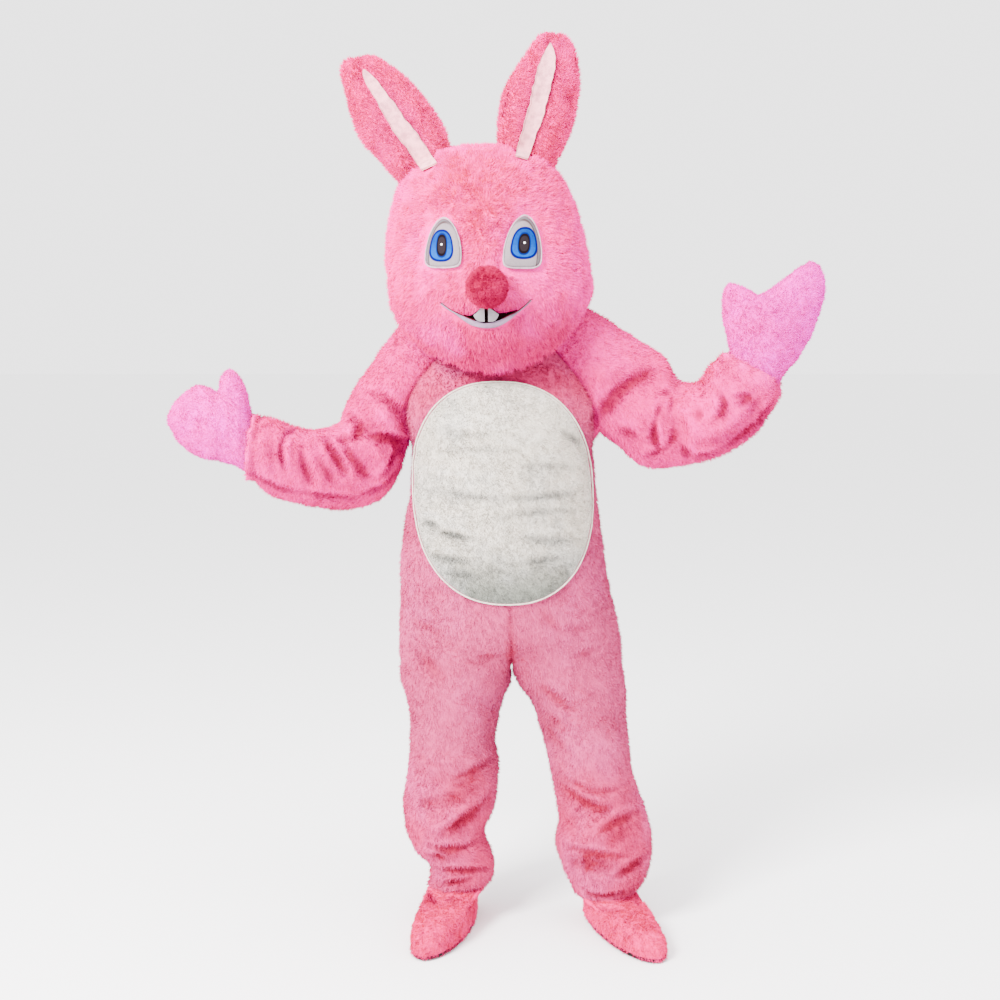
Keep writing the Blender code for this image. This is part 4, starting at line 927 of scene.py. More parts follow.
def add_tube(
    name: str, path: Array, normals: Array, radii: tuple[float, float], finish: Finish,
    sides: int = 10
) -> bpy.types.Object:
    """A closed cord round a closed path: an oval carried along it.

    Args:
        name: the piece's name.
        path: its middle line, closed.
        normals: which way is out from the cloth along it.
        radii: half its width and half its height.
        finish: its finish.
        sides: points round the oval.

    Returns:
        The piece.
    """
    run = unit(np.roll(path, -1, axis=0) - np.roll(path, 1, axis=0))
    across = unit(np.cross(run, normals))
    turn = round_turn(sides)[:, None]
    ring = radii[0] * across[:, None] * np.cos(turn) + radii[1] * normals[:, None] * np.sin(turn)
    points = (path[:, None] + ring).reshape(-1, 3)
    number = np.arange(len(points)).reshape(-1, sides)
    cells = grid_cells(np.pad(number, (0, 1), mode="wrap"))
    made = add_mesh(name, points, face_out(points, cells), [finish])
    carry(made, "pile", np.full(len(points), 0.7))
    return made


def add_cords(name: str, paths: Array, radius: float, finish: Finish) -> bpy.types.Object:
    """Many short open cords in one piece: three sides round each path of points.

    Args:
        name: the piece's name.
        paths: cords by points by 3.
        radius: half the thread's thickness.
        finish: its finish.

    Returns:
        The piece.
    """
    run = unit(np.gradient(paths, axis=1))
    one = unit(np.cross(run, (0.31, 0.17, 0.93)))
    two = np.cross(run, one)
    turn = round_turn(3)[:, None]
    points = paths[:, :, None] + radius * (one[:, :, None] * np.cos(turn) + two[:, :, None] * np.sin(turn))
    number = np.arange(points.size // 3).reshape(points.shape[:3])
    beside = np.roll(number, -1, axis=2)
    cells = np.stack([number[:, 1:], beside[:, 1:], beside[:, :-1], number[:, :-1]], -1).reshape(-1, 4)
    return add_mesh(name, points, cells, [finish])


# ---------------------------------------------------------------- pile and cut

Lay = Callable[[Array, Array], Array]


def brushed(way: Callable[[Array], Array], swirl: float, size: float, seed: int) -> Lay:
    """A lay of the nap: a way for each place, turned about by soft noise.

    Args:
        way: gives the direction at places.
        swirl: share of the noise.
        size: size of its waves.
        seed: seed of the noise.

    Returns:
        Gives the lay along the cloth from places and normals.
    """

    def lay(points: Array, normals: Array) -> Array:
        """The way and the noise, less their part along the normal."""
        total = way(points) + swirl * noise_vectors(points, size, seed)
        return total - normals * (total * normals).sum(-1, keepdims=True)

    return lay


def downward(strength: float = 1.0, swirl: float = 0.5, seed: int = 3) -> Lay:
    """A lay that falls along the cloth."""
    return brushed(lambda points: np.array([0, 0, -strength]), swirl, 0.07, seed)


def away_from(centre: Sequence[float], fall: float) -> Lay:
    """A lay that spreads from a centre and falls a little."""
    return brushed(lambda points: unit(points - np.array(centre)) + np.array([0, 0, -fall]), 0.35, 0.05, 9)


@dataclass(frozen=True)
class Nap:
    """How a pile stands: hairs for each square metre, their size and how they lie.

    A hair is one long triangle. Its direction is the cloth's normal, leant along the lay of the
    nap, pushed about by soft noise of two sizes so that hairs gather in tufts, and by chance.
    """

    per_area: float
    length: float
    width: float
    lean: float = 1.2
    tuft: float = 0.7
    tuft_size: float = 0.014
    chance: float = 0.35
    sink: float = 0.001
    most: int = 190000

    def grow(
        self, name: str, cloth: Cloth, lay: Lay, finish: Finish, slot: str, seed: int,
        scale: Optional[Callable[[Array], Array]] = None
    ) -> bpy.types.Object:
        """Sows hairs on a cloth.

        Args:
            name: the piece's name.
            cloth: the surface that the hairs stand on.
            lay: gives the way the nap is brushed from places and normals.
            finish: the pile's finish.
            slot: not used.
            seed: seed of the draws.
            scale: share of the hair's length at places; hairs under a twentieth are left out.

        Returns:
            The piece of joined hairs.
        """
        chance = np.random.default_rng(seed)
        points, normals, fold = (cloth.shut(grid) for grid in (cloth.points, cloth.normals(), cloth.fold))
        areas = cloth.cell_areas()
        count = min(int(self.per_area * areas.sum()), self.most)
        cell = chance.choice(len(areas), count, p=areas / areas.sum())
        row, column = np.unravel_index(cell, (points.shape[0] - 1, points.shape[1] - 1))
        down, across = chance.random((2, count, 1))

        def blend(grid: Array) -> Array:
            """The grid's value at every root, eased between its cell's corners."""
            above = grid[row, column] * (1 - across) + grid[row, column + 1] * across
            below = grid[row + 1, column] * (1 - across) + grid[row + 1, column + 1] * across
            return above * (1 - down) + below * down

        root, normal, depth = blend(points), unit(blend(normals)), blend(fold[..., None])
        size = scale(root)[:, None] if scale else np.ones((count, 1))
        kept = size[:, 0] > 0.05
        root, normal, depth, size = root[kept], normal[kept], np.clip(depth[kept], -1, 1), size[kept]
        count = len(root)
        push = self.tuft * noise_vectors(root, self.tuft_size, seed)
        push += 0.5 * self.tuft * noise_vectors(root, self.tuft_size * 0.45, seed + 5)
        push += self.chance * chance.normal(size=(count, 3))
        way = unit(normal + self.lean * lay(root, normal) + push)
        way = unit(way + normal * np.maximum(0, 0.15 - (way * normal).sum(-1, keepdims=True)))
        length = self.length * size * (0.65 + 0.6 * chance.random((count, 1)))
        side = unit(np.cross(way, normal + 0.6 * chance.normal(size=(count, 3)))) * self.width / 2
        side *= np.sign((np.cross(side, way) * normal).sum(-1, keepdims=True))
        base = root - normal * self.sink
        corners = np.stack([base - side, base + side, base + way * length], axis=1)
        made = add_mesh(name, corners, np.arange(3 * count).reshape(-1, 3), [finish])
        # Pile value: the root is painted shade between the hairs, deeper in folds, and the tip is paler.
        shade = 0.40 + 0.2 * chance.random((count, 1)) - 0.2 * np.maximum(depth, 0)
        carry(made, "pile", np.concatenate([shade, shade, shade + 0.45], axis=1))
        carry(made, "fold", np.repeat(depth, 3))
        return made


@dataclass(frozen=True)
class Cut:
    """What a sheet of cloth is cut to: the width and length it needs, and its own area."""

    width: float
    length: float
    area: float
    held: Held

    def declare(
        self, piece: bpy.types.Object, cloth: Cloth, node: str, pile: Sequence[bpy.types.Object] = (),
        rests_on: Sequence[str] = ()
    ) -> None:
        """Lets a piece stand in for its node: the node is hidden, and the cloth's area is logged.

        Args:
            piece: the sheet.
            cloth: its outer surface.
            node: the solid that it stands in for.
            pile: the pile that grows on it; not used.
            rests_on: names of the pieces that it lies on; not used.
        """
        LOG.info("%s: area %.4f", node, cloth.cell_areas().sum())
        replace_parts(piece, node)


# ---------------------------------------------------------------- the suit

TRUNK = lengths(
    "height right left seam front back",
    (567, -229, 280, 26.5, -150, 170),
    (645, -230, 272, 24, -168, 176),
    (730, -227, 254, 21, -178, 166),
    (815, -224, 238, 16, -182, 150),
    (883, -219, 230, 12, -180, 142),
    (951, -206, 220, 8, -176, 140),
    (1019, -200, 214, 5, -171, 143),
    (1085, -200, 210, 2, -165, 148),
    (1135, -222, 222, 0, -158, 153),
    (1190, -226, 222, 0, -146, 150),
    (1240, -206, 202, 0, -125, 137),
    (1285, -172, 166, 0, -100, 116),
    (1330, -130, 126, 0, -80, 94),
    (1385, -90, 88, 0, -64, 78),
    (1420, -80, 80, 0, -60, 72),
)
LEG = {
    Side.RIGHT: lengths(
        "height outer inner middle half_depth",
        (80, -166, -26, -52, 70),
        (100, -159, -13, -52, 73),
        (127, -163, -11, -48, 80),
        (157, -193, -22, -43, 92),
        (195, -213, -34, -36, 100),
        (244, -222, -14, -28, 108),
        (300, -216, -6, -20, 108),
        (350, -210, -2, -14, 108),
        (410, -207, -10, -8, 112),
        (448, -206, -2, -4, 118),
        (500, -212, 10, 0, 134),
        (545, -225, 27, 0, 150),
        (567, -229, 26.5, 0, 155),
    ),
    Side.LEFT: lengths(
        "height outer inner middle half_depth",
        (70, 312, 165, -75, 74),
        (102, 330, 151, -72, 88),
        (146, 343, 133, -62, 102),
        (182, 345, 123, -54, 110),
        (224, 340, 132, -46, 112),
        (285, 320, 125, -34, 108),
        (334, 303, 114, -24, 106),
        (410, 293, 98, -12, 112),
        (445, 292, 86, -6, 118),
        (500, 288, 66, 0, 134),
        (545, 284, 35, 0, 150),
        (567, 280, 26.5, 0, 155),
    ),
}
ARM = {
    Side.RIGHT: lengths(
        "top_x top_z low_x low_z middle half_depth",
        (-295, 1248, -216, 1042, 5, 98),
        (-329, 1199, -230, 1001, 5, 102),
        (-351, 1155, -270, 952, -5, 102),
        (-361, 1129, -347, 932, -30, 95),
        (-402, 1116, -404, 942, -60, 86),
        (-440, 1122, -453, 956, -80, 80),
        (-479, 1139, -497, 971, -100, 74),
        (-518, 1151, -533, 1004, -120, 64),
        (-534, 1154, -553, 1016, -128, 58),
    ),
    Side.LEFT: lengths(
        "top_x top_z low_x low_z middle half_depth",
        (272, 1335, 225, 1103, 5, 105),
        (324, 1302, 265, 1071, 0, 105),
        (366, 1275, 314, 1031, -10, 102),
        (394, 1229, 369, 1026, -20, 95),
        (417, 1219, 423, 1037, -40, 90),
        (441, 1224, 476, 1052, -60, 85),
        (454, 1251, 533, 1084, -80, 80),
        (471, 1272, 580, 1132, -100, 70),
        (488, 1288, 617, 1218, -118, 58),
    ),
}
MAIN_FOLDS = Folds(
    front=lengths(
        "x0 z0 x1 z1 bow width depth",
        (-210, 352, -10, 372, -30, 18, 12),
        (-140, 205, -30, 262, -6, 16, 12),
        (-180, 158, -80, 148, 0, 12, 10),
        (120, 330, 305, 290, -40, 20, 12),
        (140, 150, 270, 140, 0, 14, 10),
        (195, 185, 290, 228, 0, 14, 10),
        (-315, 1190, -205, 1085, -30, 18, 14),
        (-375, 1095, -340, 1015, 10, 16, 12),
        (-335, 1085, -280, 990, 12, 16, 12),
        (-420, 1080, -415, 990, 8, 14, 8),
        (215, 1125, 335, 1245, 30, 18, 14),
        (345, 1160, 385, 1070, 20, 16, 14),
        (560, 1190, 420, 1085, -35, 14, 9),
    ),
    back=lengths(
        "x0 z0 x1 z1 bow width depth",
        (-200, 340, -20, 365, -20, 18, 12),
        (-170, 190, -40, 215, 0, 16, 12),
        (130, 325, 300, 300, -20, 18, 12),
        (150, 170, 310, 190, 0, 16, 12),
        (-180, 560, -40, 600, -20, 20, 10),
        (80, 600, 230, 560, -20, 20, 10),
        (-310, 1180, -225, 1090, -20, 18, 12),
        (240, 1130, 340, 1230, 20, 18, 12),
        (-400, 1090, -360, 990, 10, 16, 10),
        (400, 1170, 430, 1080, 10, 16, 10),
    ),
)
SUIT_CREASES = Folds(
    front=lengths(
        "x0 z0 x1 z1 bow width depth",
        # Right knee, shin and hem
        (-198, 392, -106, 370, -9, 6, 4),
        (-105, 345, -8, 389, -8, 6, 6),
        (-110, 336, -8, 374, -6, 6, 5),
        (-110, 324, -6, 354, -5, 7, 4),
        (-200, 278, -30, 325, -6, 15, 6),
        (-130, 223, -22, 288, -6, 10, 13),
        (-172, 190, -50, 189, -6, 7, 13),
        (-150, 176, -80, 170, 0, 14, 5),
        (-160, 163, -126, 149, 3, 6, 9),
        (-146, 124, -20, 127, 4, 6, 12),
        (-142, 96, -56, 113, -3, 6, 11),
        # Left knee, shin and hem
        (122, 355, 290, 324, -22, 6, 8),
        (120, 327, 262, 279, -15, 7, 9),
        (202, 215, 324, 262, 10, 10, 11),
        (230, 205, 330, 240, 6, 16, 5),
        (142, 187, 298, 168, 2, 7, 11),
        (150, 170, 260, 150, 0, 16, 5),
        (187, 178, 180, 134, -6, 6, 9),
        (252, 121, 336, 163, 3, 9, 12),
        (172, 92, 302, 98, -14, 6, 11),
        (146, 152, 177, 140, 0, 6, 5),
        # Groin, thighs and chest
        (83, 735, 149, 664, 0, 10, 5),
        (142, 680, 214, 684, 0, 9, 6),
        (80, 560, 162, 494, -3, 12, 7),
        (85, 488, 154, 440, -2, 12, 6),
        (92, 460, 168, 380, -4, 12, 5),
        (158, 615, 218, 628, 3, 7, 6),
        (-197, 700, -109, 655, 0, 11, 4),
        (-197, 640, -120, 556, 0, 18, 5),
        (-60, 621, 12, 623, -3, 6, 6),
        (-80, 606, -26, 598, 2, 6, 5),
        (-196, 762, -120, 764, -4, 10, 5),
        (-196, 1178, -120, 1196, 4, 6, 4),
        # Right sleeve: shoulder, elbow, armpit, forearm and underside
        (-310, 1197, -202, 1105, 31, 9, 8),
        (-352, 1149, -308, 1131, 5, 6, 7),
        (-310, 1136, -320, 1094, -2, 9, 12),
        (-318, 1098, -358, 1098, 0, 7, 10),
        (-288, 1105, -190, 1084, 1, 7, 15),
        (-222, 1092, -196, 1026, 0, 15, 12),
        (-222, 1082, -272, 1001, -12, 7, 8),
        (-198, 1075, -250, 995, -12, 7, 9),
        (-336, 1086, -275, 999, -4, 8, 10),
        (-386, 1110, -328, 1014, 3, 6, 14),
        (-404, 1088, -352, 993, -3, 10, 9),
        (-428, 1093, -403, 996, -6, 8, 8),
        (-462, 1120, -461, 1026, -8, 6, 12),
        (-464, 1115, -440, 1123, 0, 5, 8),
        (-496, 1110, -486, 1026, 0, 10, 5),
        (-548, 1034, -420, 977, -12, 7, 9),
        (-435, 985, -305, 961, -4, 6, 8),
        (-320, 964, -222, 1014, -8, 6, 7),
        # Left sleeve: the same from the shoulder to the cuff
        (200, 1124, 350, 1253, 20, 9, 15),
        (206, 1116, 270, 1195, 8, 14, 8),
        (340, 1144, 347, 1068, -9, 7, 15),
        (375, 1126, 365, 1072, -6, 6, 10),
        (342, 1072, 370, 1075, -4, 6, 7),
        (352, 1180, 340, 1140, 0, 5, 8),
        (348, 1196, 378, 1190, 6, 6, 9),
        (377, 1192, 368, 1155, -3, 6, 8),
        (466, 1207, 457, 1134, -18, 7, 13),
        (496, 1192, 544, 1187, 3, 6, 8),
        (505, 1177, 538, 1184, 0, 5, 6),
        (430, 1170, 431, 1136, 0, 6, 8),
        (256, 1110, 302, 1094, 3, 10, 7),
        (395, 1085, 415, 1050, -2, 9, 12),
        (316, 1050, 354, 1065, 0, 7, 8),
        (410, 1055, 485, 1064, -4, 7, 8),
        (466, 1066, 596, 1190, -22, 10, 9),
    ),
    back=lengths(
        "x0 z0 x1 z1 bow width depth",
        # The same kinds on the back
        (-185, 372, -30, 380, -30, 10, 6),
        (-150, 270, -40, 300, -10, 10, 6),
        (-180, 160, -60, 170, 0, 9, 8),
        (-150, 110, -50, 118, 0, 8, 7),
        (140, 350, 280, 330, -30, 10, 6),
        (170, 250, 300, 280, -10, 10, 6),
        (160, 140, 320, 150, 0, 9, 8),
        (190, 95, 300, 105, 0, 8, 6),
        (-120, 900, -20, 930, -10, 14, 4),
        (30, 860, 140, 890, -10, 14, 4),
        (-150, 1080, -60, 1010, 0, 14, 4),
        (60, 1020, 160, 1090, 0, 14, 4),
        (-340, 1130, -290, 1000, 10, 10, 8),
        (-450, 1100, -430, 1010, 0, 10, 7),
        (340, 1190, 370, 1070, 10, 10, 8),
        (520, 1220, 470, 1110, 10, 10, 7),
    ),
    roll=0.35,
)


@dataclass
class Suit:
    """Jumpsuit of two fronts, two backs and two raglan sleeves, worn and hollow."""

    crotch: float = 0.567
    crotch_curve: float = 0.115
    crotch_soft_drop: float = 0.17
    crotch_soft_share: float = 0.45
    armpit: float = 1.085
    neck_corner: float = 1.385
    raglan_swing: float = math.radians(52)
    raglan_power: float = 0.6
    shoulder_middle: Colour = (0.0, 0.010, 1.240)
    cap_curve: float = 0.36
    pile_height: float = 0.003
    overlap: float = 0.0022
    seam_tuck: float = 0.014
    deepest: float = 0.014
    leg_rows: int = 108
    curve_rows: int = 17
    trunk_rows: int = 42
    yoke_rows: int = 34
    columns: int = 48
    sleeve_columns: int = 104
    cap_rings: int = 26
    arm_rings: int = 92
    nap: Nap = Nap(per_area=105000, length=0.0095, width=0.0024, lean=1.3, tuft=0.8)

    NECK_MIDDLE = {Face.FRONT: 1.32, Face.BACK: 1.40}
    HEM = {Side.RIGHT: 0.080, Side.LEFT: 0.070}
    CUTS = {
        "front": Cut(0.38, 1.34, 0.39, Held.HUNG),
        "back": Cut(0.38, 1.38, 0.39, Held.HUNG),
        "sleeve": Cut(0.58, 0.66, 0.33, Held.GATHERED),
    }
    # The head's chin line, x then height above the floor; its painted shadow falls on the fronts just below
    # it.
    CHIN_SHADOW_LINE = (
        (-0.189, -0.133, -0.107, -0.019, 0.045, 0.090, 0.138),
        (1.314, 1.280, 1.269, 1.250, 1.262, 1.280, 1.314),
    )

    def trunk_edge(self, side: Side, height: Array) -> Array:
        """The side seam's x, which runs on down the leg."""
        above = smooth(TRUNK, "height", side.word, height)
        return np.where(height < self.crotch, smooth(LEG[side], "height", "outer", height), above)

    def raglan_angle(self, height: Array) -> Array:
        """Angle from the centre seam to the panel's outer edge: a quarter turn, less the raglan's swing."""
        rise = np.clip((height - self.armpit) / (self.neck_corner - self.armpit), 0, 1)
        return QUARTER - self.raglan_swing * rise**self.raglan_power

    def trunk_at(self, side: Side, face: Face, angle: Array, height: Array) -> Array:
        """Point of the trunk's oval: half width times sine, depth times cosine."""
        seam = smooth(TRUNK, "height", "seam", height)
        half = np.abs(self.trunk_edge(side, height) - seam)
        depth = np.abs(smooth(TRUNK, "height", face.word, height))
        x = seam + side.value * half * np.sin(angle)
        return spots(x, face.value * depth * np.cos(angle), height)

    def leg_at(self, side: Side, face: Face, share: Number, height: Array) -> Array:
        """Point of a leg's oval, from the inseam (share 0) to the side seam (1)."""
        rows = LEG[side]
        angle = math.pi * (share - 0.5)
        outer, seam = self.trunk_edge(side, height), smooth(TRUNK, "height", "seam", height)
        inner = np.where(height > self.crotch, seam, smooth(rows, "height", "inner", height))
        x = (outer + inner) / 2 + (outer - inner) / 2 * np.sin(angle)
        depth = smooth(rows, "height", "half_depth", height)
        y = smooth(rows, "height", "middle", height) + face.value * depth * np.cos(angle)
        return spots(x, y, height)

    def surface_at(self, side: Side, face: Face, share: Number, height: Array) -> Array:
        """The leg turning into the trunk: in a quarter round at the centre seam, softly beside it."""
        away = np.clip(share / self.crotch_soft_share, 0, 1)
        low = self.crotch - self.crotch_soft_drop * away
        rise = np.clip((height - low) / (self.crotch + self.crotch_curve - low), 0, 1)
        curve, soft = np.sqrt(rise * (2 - rise)), rise * rise * (3 - 2 * rise)
        trunk_share = ((1 - away) * curve + away * soft)[..., None]
        trunk = self.trunk_at(side, face, share * self.raglan_angle(height), height)
        return trunk_share * trunk + (1 - trunk_share) * self.leg_at(side, face, share, height)

    def settle(self, cloth: Cloth, fade: Number, weight: float = 0.8) -> Cloth:
        """Folds, creases and the cloth's own unevenness, then room for the pile."""
        normals = cloth.normals()
        broad = MAIN_FOLDS.depth(cloth.points, normals) * fade * weight
        fine = SUIT_CREASES.depth(cloth.points, normals) * (0.4 + 0.6 * fade)
        deepest = self.deepest * (0.5 + 0.6 * weight)
        cloth.press(deepest * np.tanh((broad + fine) / deepest), 1.0)
        # Painted shade in the folds and creases, and painted highlight on their rolls, by their depth.
        cloth.fold = np.clip(broad / 0.030 + fine / 0.009, -1, 1)
        cloth.rumple(0.0022, 0.075, 11, (1.5, 1, 0.8)).rumple(0.0011, 0.026, 23)
        return cloth.inset(self.pile_height)

    def panel(self, side: Side, face: Face) -> Cloth:
        """A front or back: rows from the hem to the neck, columns from the centre seam outward."""
        share = np.linspace(0, 1, self.columns + 1)
        hem, top = self.HEM[side], self.crotch + self.crotch_curve
        leg = hem + (self.crotch - hem) * np.linspace(0, 1, self.leg_rows + 1)
        turn = np.linspace(0, QUARTER, self.curve_rows + 1)[1:]
        curve = self.crotch + self.crotch_curve * (1 - np.cos(turn))
        trunk = np.linspace(top, self.armpit, self.trunk_rows + 1)[1:]
        lower = np.tile(np.concatenate([leg, curve, trunk])[:, None], len(share))
        middle = self.NECK_MIDDLE[face]
        rim = middle + (self.neck_corner - middle) * share**2
        rise = (np.arange(1, self.yoke_rows + 1) / self.yoke_rows)[:, None] ** 1.5
        heights = np.concatenate([lower, self.armpit + rise * (rim - self.armpit)])
        cloth = Cloth(self.surface_at(side, face, share, heights), -side.value * face.value)
        self.settle(cloth, np.clip(np.minimum(share, 1 - share) / 0.12, 0, 1))
        # Seam grooves noted for painted shade; the narrow one toward the crotch is mostly painted shade.
        cloth.press(edge_groove(cloth.points, (0,), 0.006, 0.0030), 0.014)
        cloth.press(edge_groove(cloth.points, (-1,), 0.006, 0.0018), 0.012)
        fork = bell(heights - self.crotch - 0.07, 0.075)
        cloth.press(edge_groove(cloth.points, (0,), 0.011, 0.0015) * fork, 0.002)
        # Painted shadow of the head's chin on the upper fronts.
        if face is Face.FRONT:
            chin = np.interp(cloth.points[..., 0], *self.CHIN_SHADOW_LINE) - 0.004
            cloth.fold = np.maximum(cloth.fold, 0.8 * bell(heights - chin, 0.006))
        cloth.points[..., 2] += 0.007 * bell(heights - hem, 0.03) * lattice_noise(cloth.points, 0.045, 17)
        # Painted shade on the inner thighs.
        inner_thigh_shade = bell(share, 0.16) * np.clip((0.66 - heights) / 0.08, 0, 1)
        cloth.fold = np.clip(cloth.fold + 0.45 * inner_thigh_shade * np.clip((heights - 0.30) / 0.1, 0, 1), -1, 1)
        for edge, beside, more in ((0, 1, 0.008 * fork[:, :1]), (-1, -2, 0.0)):
            across = unit(cloth.points[:, edge] - cloth.points[:, beside])
            cloth.points[:, edge] += across * (self.overlap + more)
        return cloth

    def raglan_loop(self, side: Side) -> Array:
        """The sleeve's seam: up the front raglan (two fifths), over the neck (a fifth), down the back."""
        place = np.arange(self.sleeve_columns) / self.sleeve_columns
        span = self.neck_corner - self.armpit
        front, back = (
            self.surface_at(side, face, 1.0, self.armpit + np.clip(run / 0.4, 0, 1) ** 1.5 * span)
            for face, run in ((Face.FRONT, place), (Face.BACK, 1 - place))
        )
        corner = QUARTER - self.raglan_swing
        angle = corner + (math.pi - 2 * corner) * np.clip((place - 0.4) / 0.2, 0, 1)
        top = np.full_like(place, self.neck_corner)
        over_front = self.trunk_at(side, Face.FRONT, angle, top)
        over_back = self.trunk_at(side, Face.BACK, math.pi - angle, top)
        neck = np.where((angle <= QUARTER)[:, None], over_front, over_back)
        loop = np.where((place < 0.4)[:, None], front, neck)
        return np.where((place > 0.6)[:, None], back, loop)

    @staticmethod
    def ring_at(rows: Table, row: Number, share: Number) -> Array:
        """Oval ring between its lower edge (share 0) and upper edge (0.5), by way of the front."""
        top, low = edge_at(rows, "top", row), edge_at(rows, "low", row)
        turn = 2 * math.pi * share
        flat = (top + low) / 2 - (top - low) / 2 * np.cos(turn)[..., None]
        y = along(rows, "middle", row) - along(rows, "half_depth", row) * np.sin(turn)
        return spots(flat[..., 0], y, flat[..., 1])

    def sleeve(self, side: Side) -> Cloth:
        """Rings from the raglan seam over the shoulder, on a cubic curve, and along the arm to the cuff."""
        rows = ARM[side]
        share = np.arange(self.sleeve_columns) / self.sleeve_columns
        seam, first_ring = self.raglan_loop(side), self.ring_at(rows, 0.0, share)
        onward = unit(self.ring_at(rows, 0.2, share) - first_ring)
        reach = np.linalg.norm(first_ring - seam, axis=-1, keepdims=True)
        straight = (first_ring - seam) / reach
        away = unit(seam - np.array(self.shoulder_middle)) + np.array([side.value * 0.4, 0, 0])
        level = 0.5 * (1 - np.cos(2 * math.pi * share))[:, None]
        leaving = unit(level * unit(away) + (1.2 - level) * straight)
        control_1 = seam + leaving * reach * self.cap_curve
        control_2 = first_ring - onward * reach * self.cap_curve
        step = np.linspace(0, 1, self.cap_rings + 1)[:-1, None, None]
        rest = 1 - step
        cap = rest**3 * seam + 3 * rest**2 * step * control_1
        cap = cap + 3 * rest * step**2 * control_2 + step**3 * first_ring
        row = np.linspace(0, len(rows["middle"]) - 1, self.arm_rings + 1)[:, None]
        arm = self.ring_at(rows, row, share)
        cloth = Cloth(np.concatenate([cap, arm]), -side.value, wrapped=True)
        self.settle(cloth, np.clip(cloth.run() / 0.035, 0, 1), 1.3)
        # Groove along the raglan seam, noted for painted shade.
        cloth.press(0.0018 * bell(cloth.run(), 0.006), 0.014)
        self.ruffle(cloth, share)
        # The tuck ring into the seam is painted in full shade.
        inward = unit(cloth.points[0] * np.array([-1, -1, 0])) * self.seam_tuck
        points = np.concatenate([cloth.points[:1] + inward, cloth.points])
        return Cloth(points, cloth.outward, True, np.concatenate([np.ones_like(cloth.fold[:1]), cloth.fold]))

    @staticmethod
    def ruffle(cloth: Cloth, share: Array) -> None:
        """Loosens the cuff: the last rings roll out and wave, with painted highlight on the roll and painted
        shade in a crease behind it.
        """
        ring = np.arange(len(cloth.points))[:, None] - len(cloth.points) + 1
        wave = np.sin(2 * math.pi * 7 * share + 1.3 * np.sin(2 * math.pi * 3 * share))
        cloth.press(-(0.0035 + 0.0035 * wave) * bell(ring, 5.0))
        cloth.press(0.011 * bell(ring, 1.8), 1.0)
        cloth.press(0.004 * bell(ring + 11, 3.0) * (0.7 + 0.3 * wave))

    def front_point(self, x: Array, z: Array) -> tuple[Array, Array]:
        """Point and outward normal of the fronts at a place seen square on."""
        found = []
        step = 1e-3
        for shift_x, shift_z in ((0, 0), (step, 0), (0, step)):
            at_x, at_z = x + shift_x, z + shift_z
            seam = smooth(TRUNK, "height", "seam", at_z)
            edge = np.where(at_x >= seam, self.trunk_edge(Side.LEFT, at_z), self.trunk_edge(Side.RIGHT, at_z))
            angle = np.arcsin(np.clip((at_x - seam) / (edge - seam), 0, 0.999))
            depth = np.abs(smooth(TRUNK, "height", "front", at_z))
            found.append(spots(at_x, -depth * np.cos(angle), at_z))
        here, beside, above = found
        return here, unit(np.cross(beside - here, above - here))

    def dress(self, patch: "BellyPatch") -> None:
        """Builds the panels and sleeves with their pile, and lets each stand in for its solid.

        Args:
            patch: covers part of the fronts, where no pile is sown.
        """

        def uncovered(points: Array) -> Array:
            """Share of the pile's length: none under the patch."""
            return np.where(patch.covers(points, 0.002), 0.0, 1.0)

        coarse = replace(self.nap, per_area=80000, width=0.0027)
        for number, side in enumerate(Side):
            for face, nap, scale in ((Face.FRONT, self.nap, uncovered), (Face.BACK, coarse, None)):
                name = f"{face.word}_{side.word}"
                cloth = self.panel(side, face)
                piece = add_cloth(f"suit_{name}", cloth, PINK_NAP, "plush_pink", lining=KNIT)
                pile = nap.grow(f"pile_{name}", cloth, downward(), PINK_NAP, "plush_pink", 40 + number, scale)
                self.CUTS[face.word].declare(piece, cloth, name, [pile])
            name = f"sleeve_{side.word}"
            cloth = self.sleeve(side)
            piece = add_cloth(f"suit_{name}", cloth, ARM_NAP, "plush_pink", lining=KNIT)
            lay = away_from((0.0, 0.05, 1.25), 0.6)
            pile = self.nap.grow(f"pile_{name}", cloth, lay, ARM_NAP, "plush_pink", 60 + number)
            self.CUTS["sleeve"].declare(piece, cloth, name, [pile])


# ---------------------------------------------------------------- belly patch and zip

PATCH_FOLDS = Folds(
    front=lengths(
        "x0 z0 x1 z1 bow width depth",
        (-165, 1128, 30, 1118, -12, 7.4, 3.4),
        (-110, 1070, 50, 1076, 6, 8.7, 3.4),
        (20, 1040, 185, 1030, 8, 8.7, 3.4),
        (-180, 1020, -40, 1010, -6, 8.7, 4.6),
        (-185, 985, 20, 962, 8, 9.9, 5.7),
        (0, 975, 192, 990, -8, 9.9, 5.7),
        (-180, 916, -124, 906, 4, 8.1, 9.2),
        (-150, 898, -50, 886, 0, 8.1, 8),
        (-20, 930, 180, 940, 8, 8.7, 4.6),
        (40, 894, 170, 880, -6, 8.7, 5.7),
        (-165, 844, -60, 834, 0, 8.7, 6.9),
        (-130, 806, -40, 802, 4, 8.1, 4.6),
        (40, 830, 150, 838, 6, 8.1, 5.7),
        (120, 1120, 190, 1060, 10, 8.1, 4.6),
    ),
    roll=0.45,
)


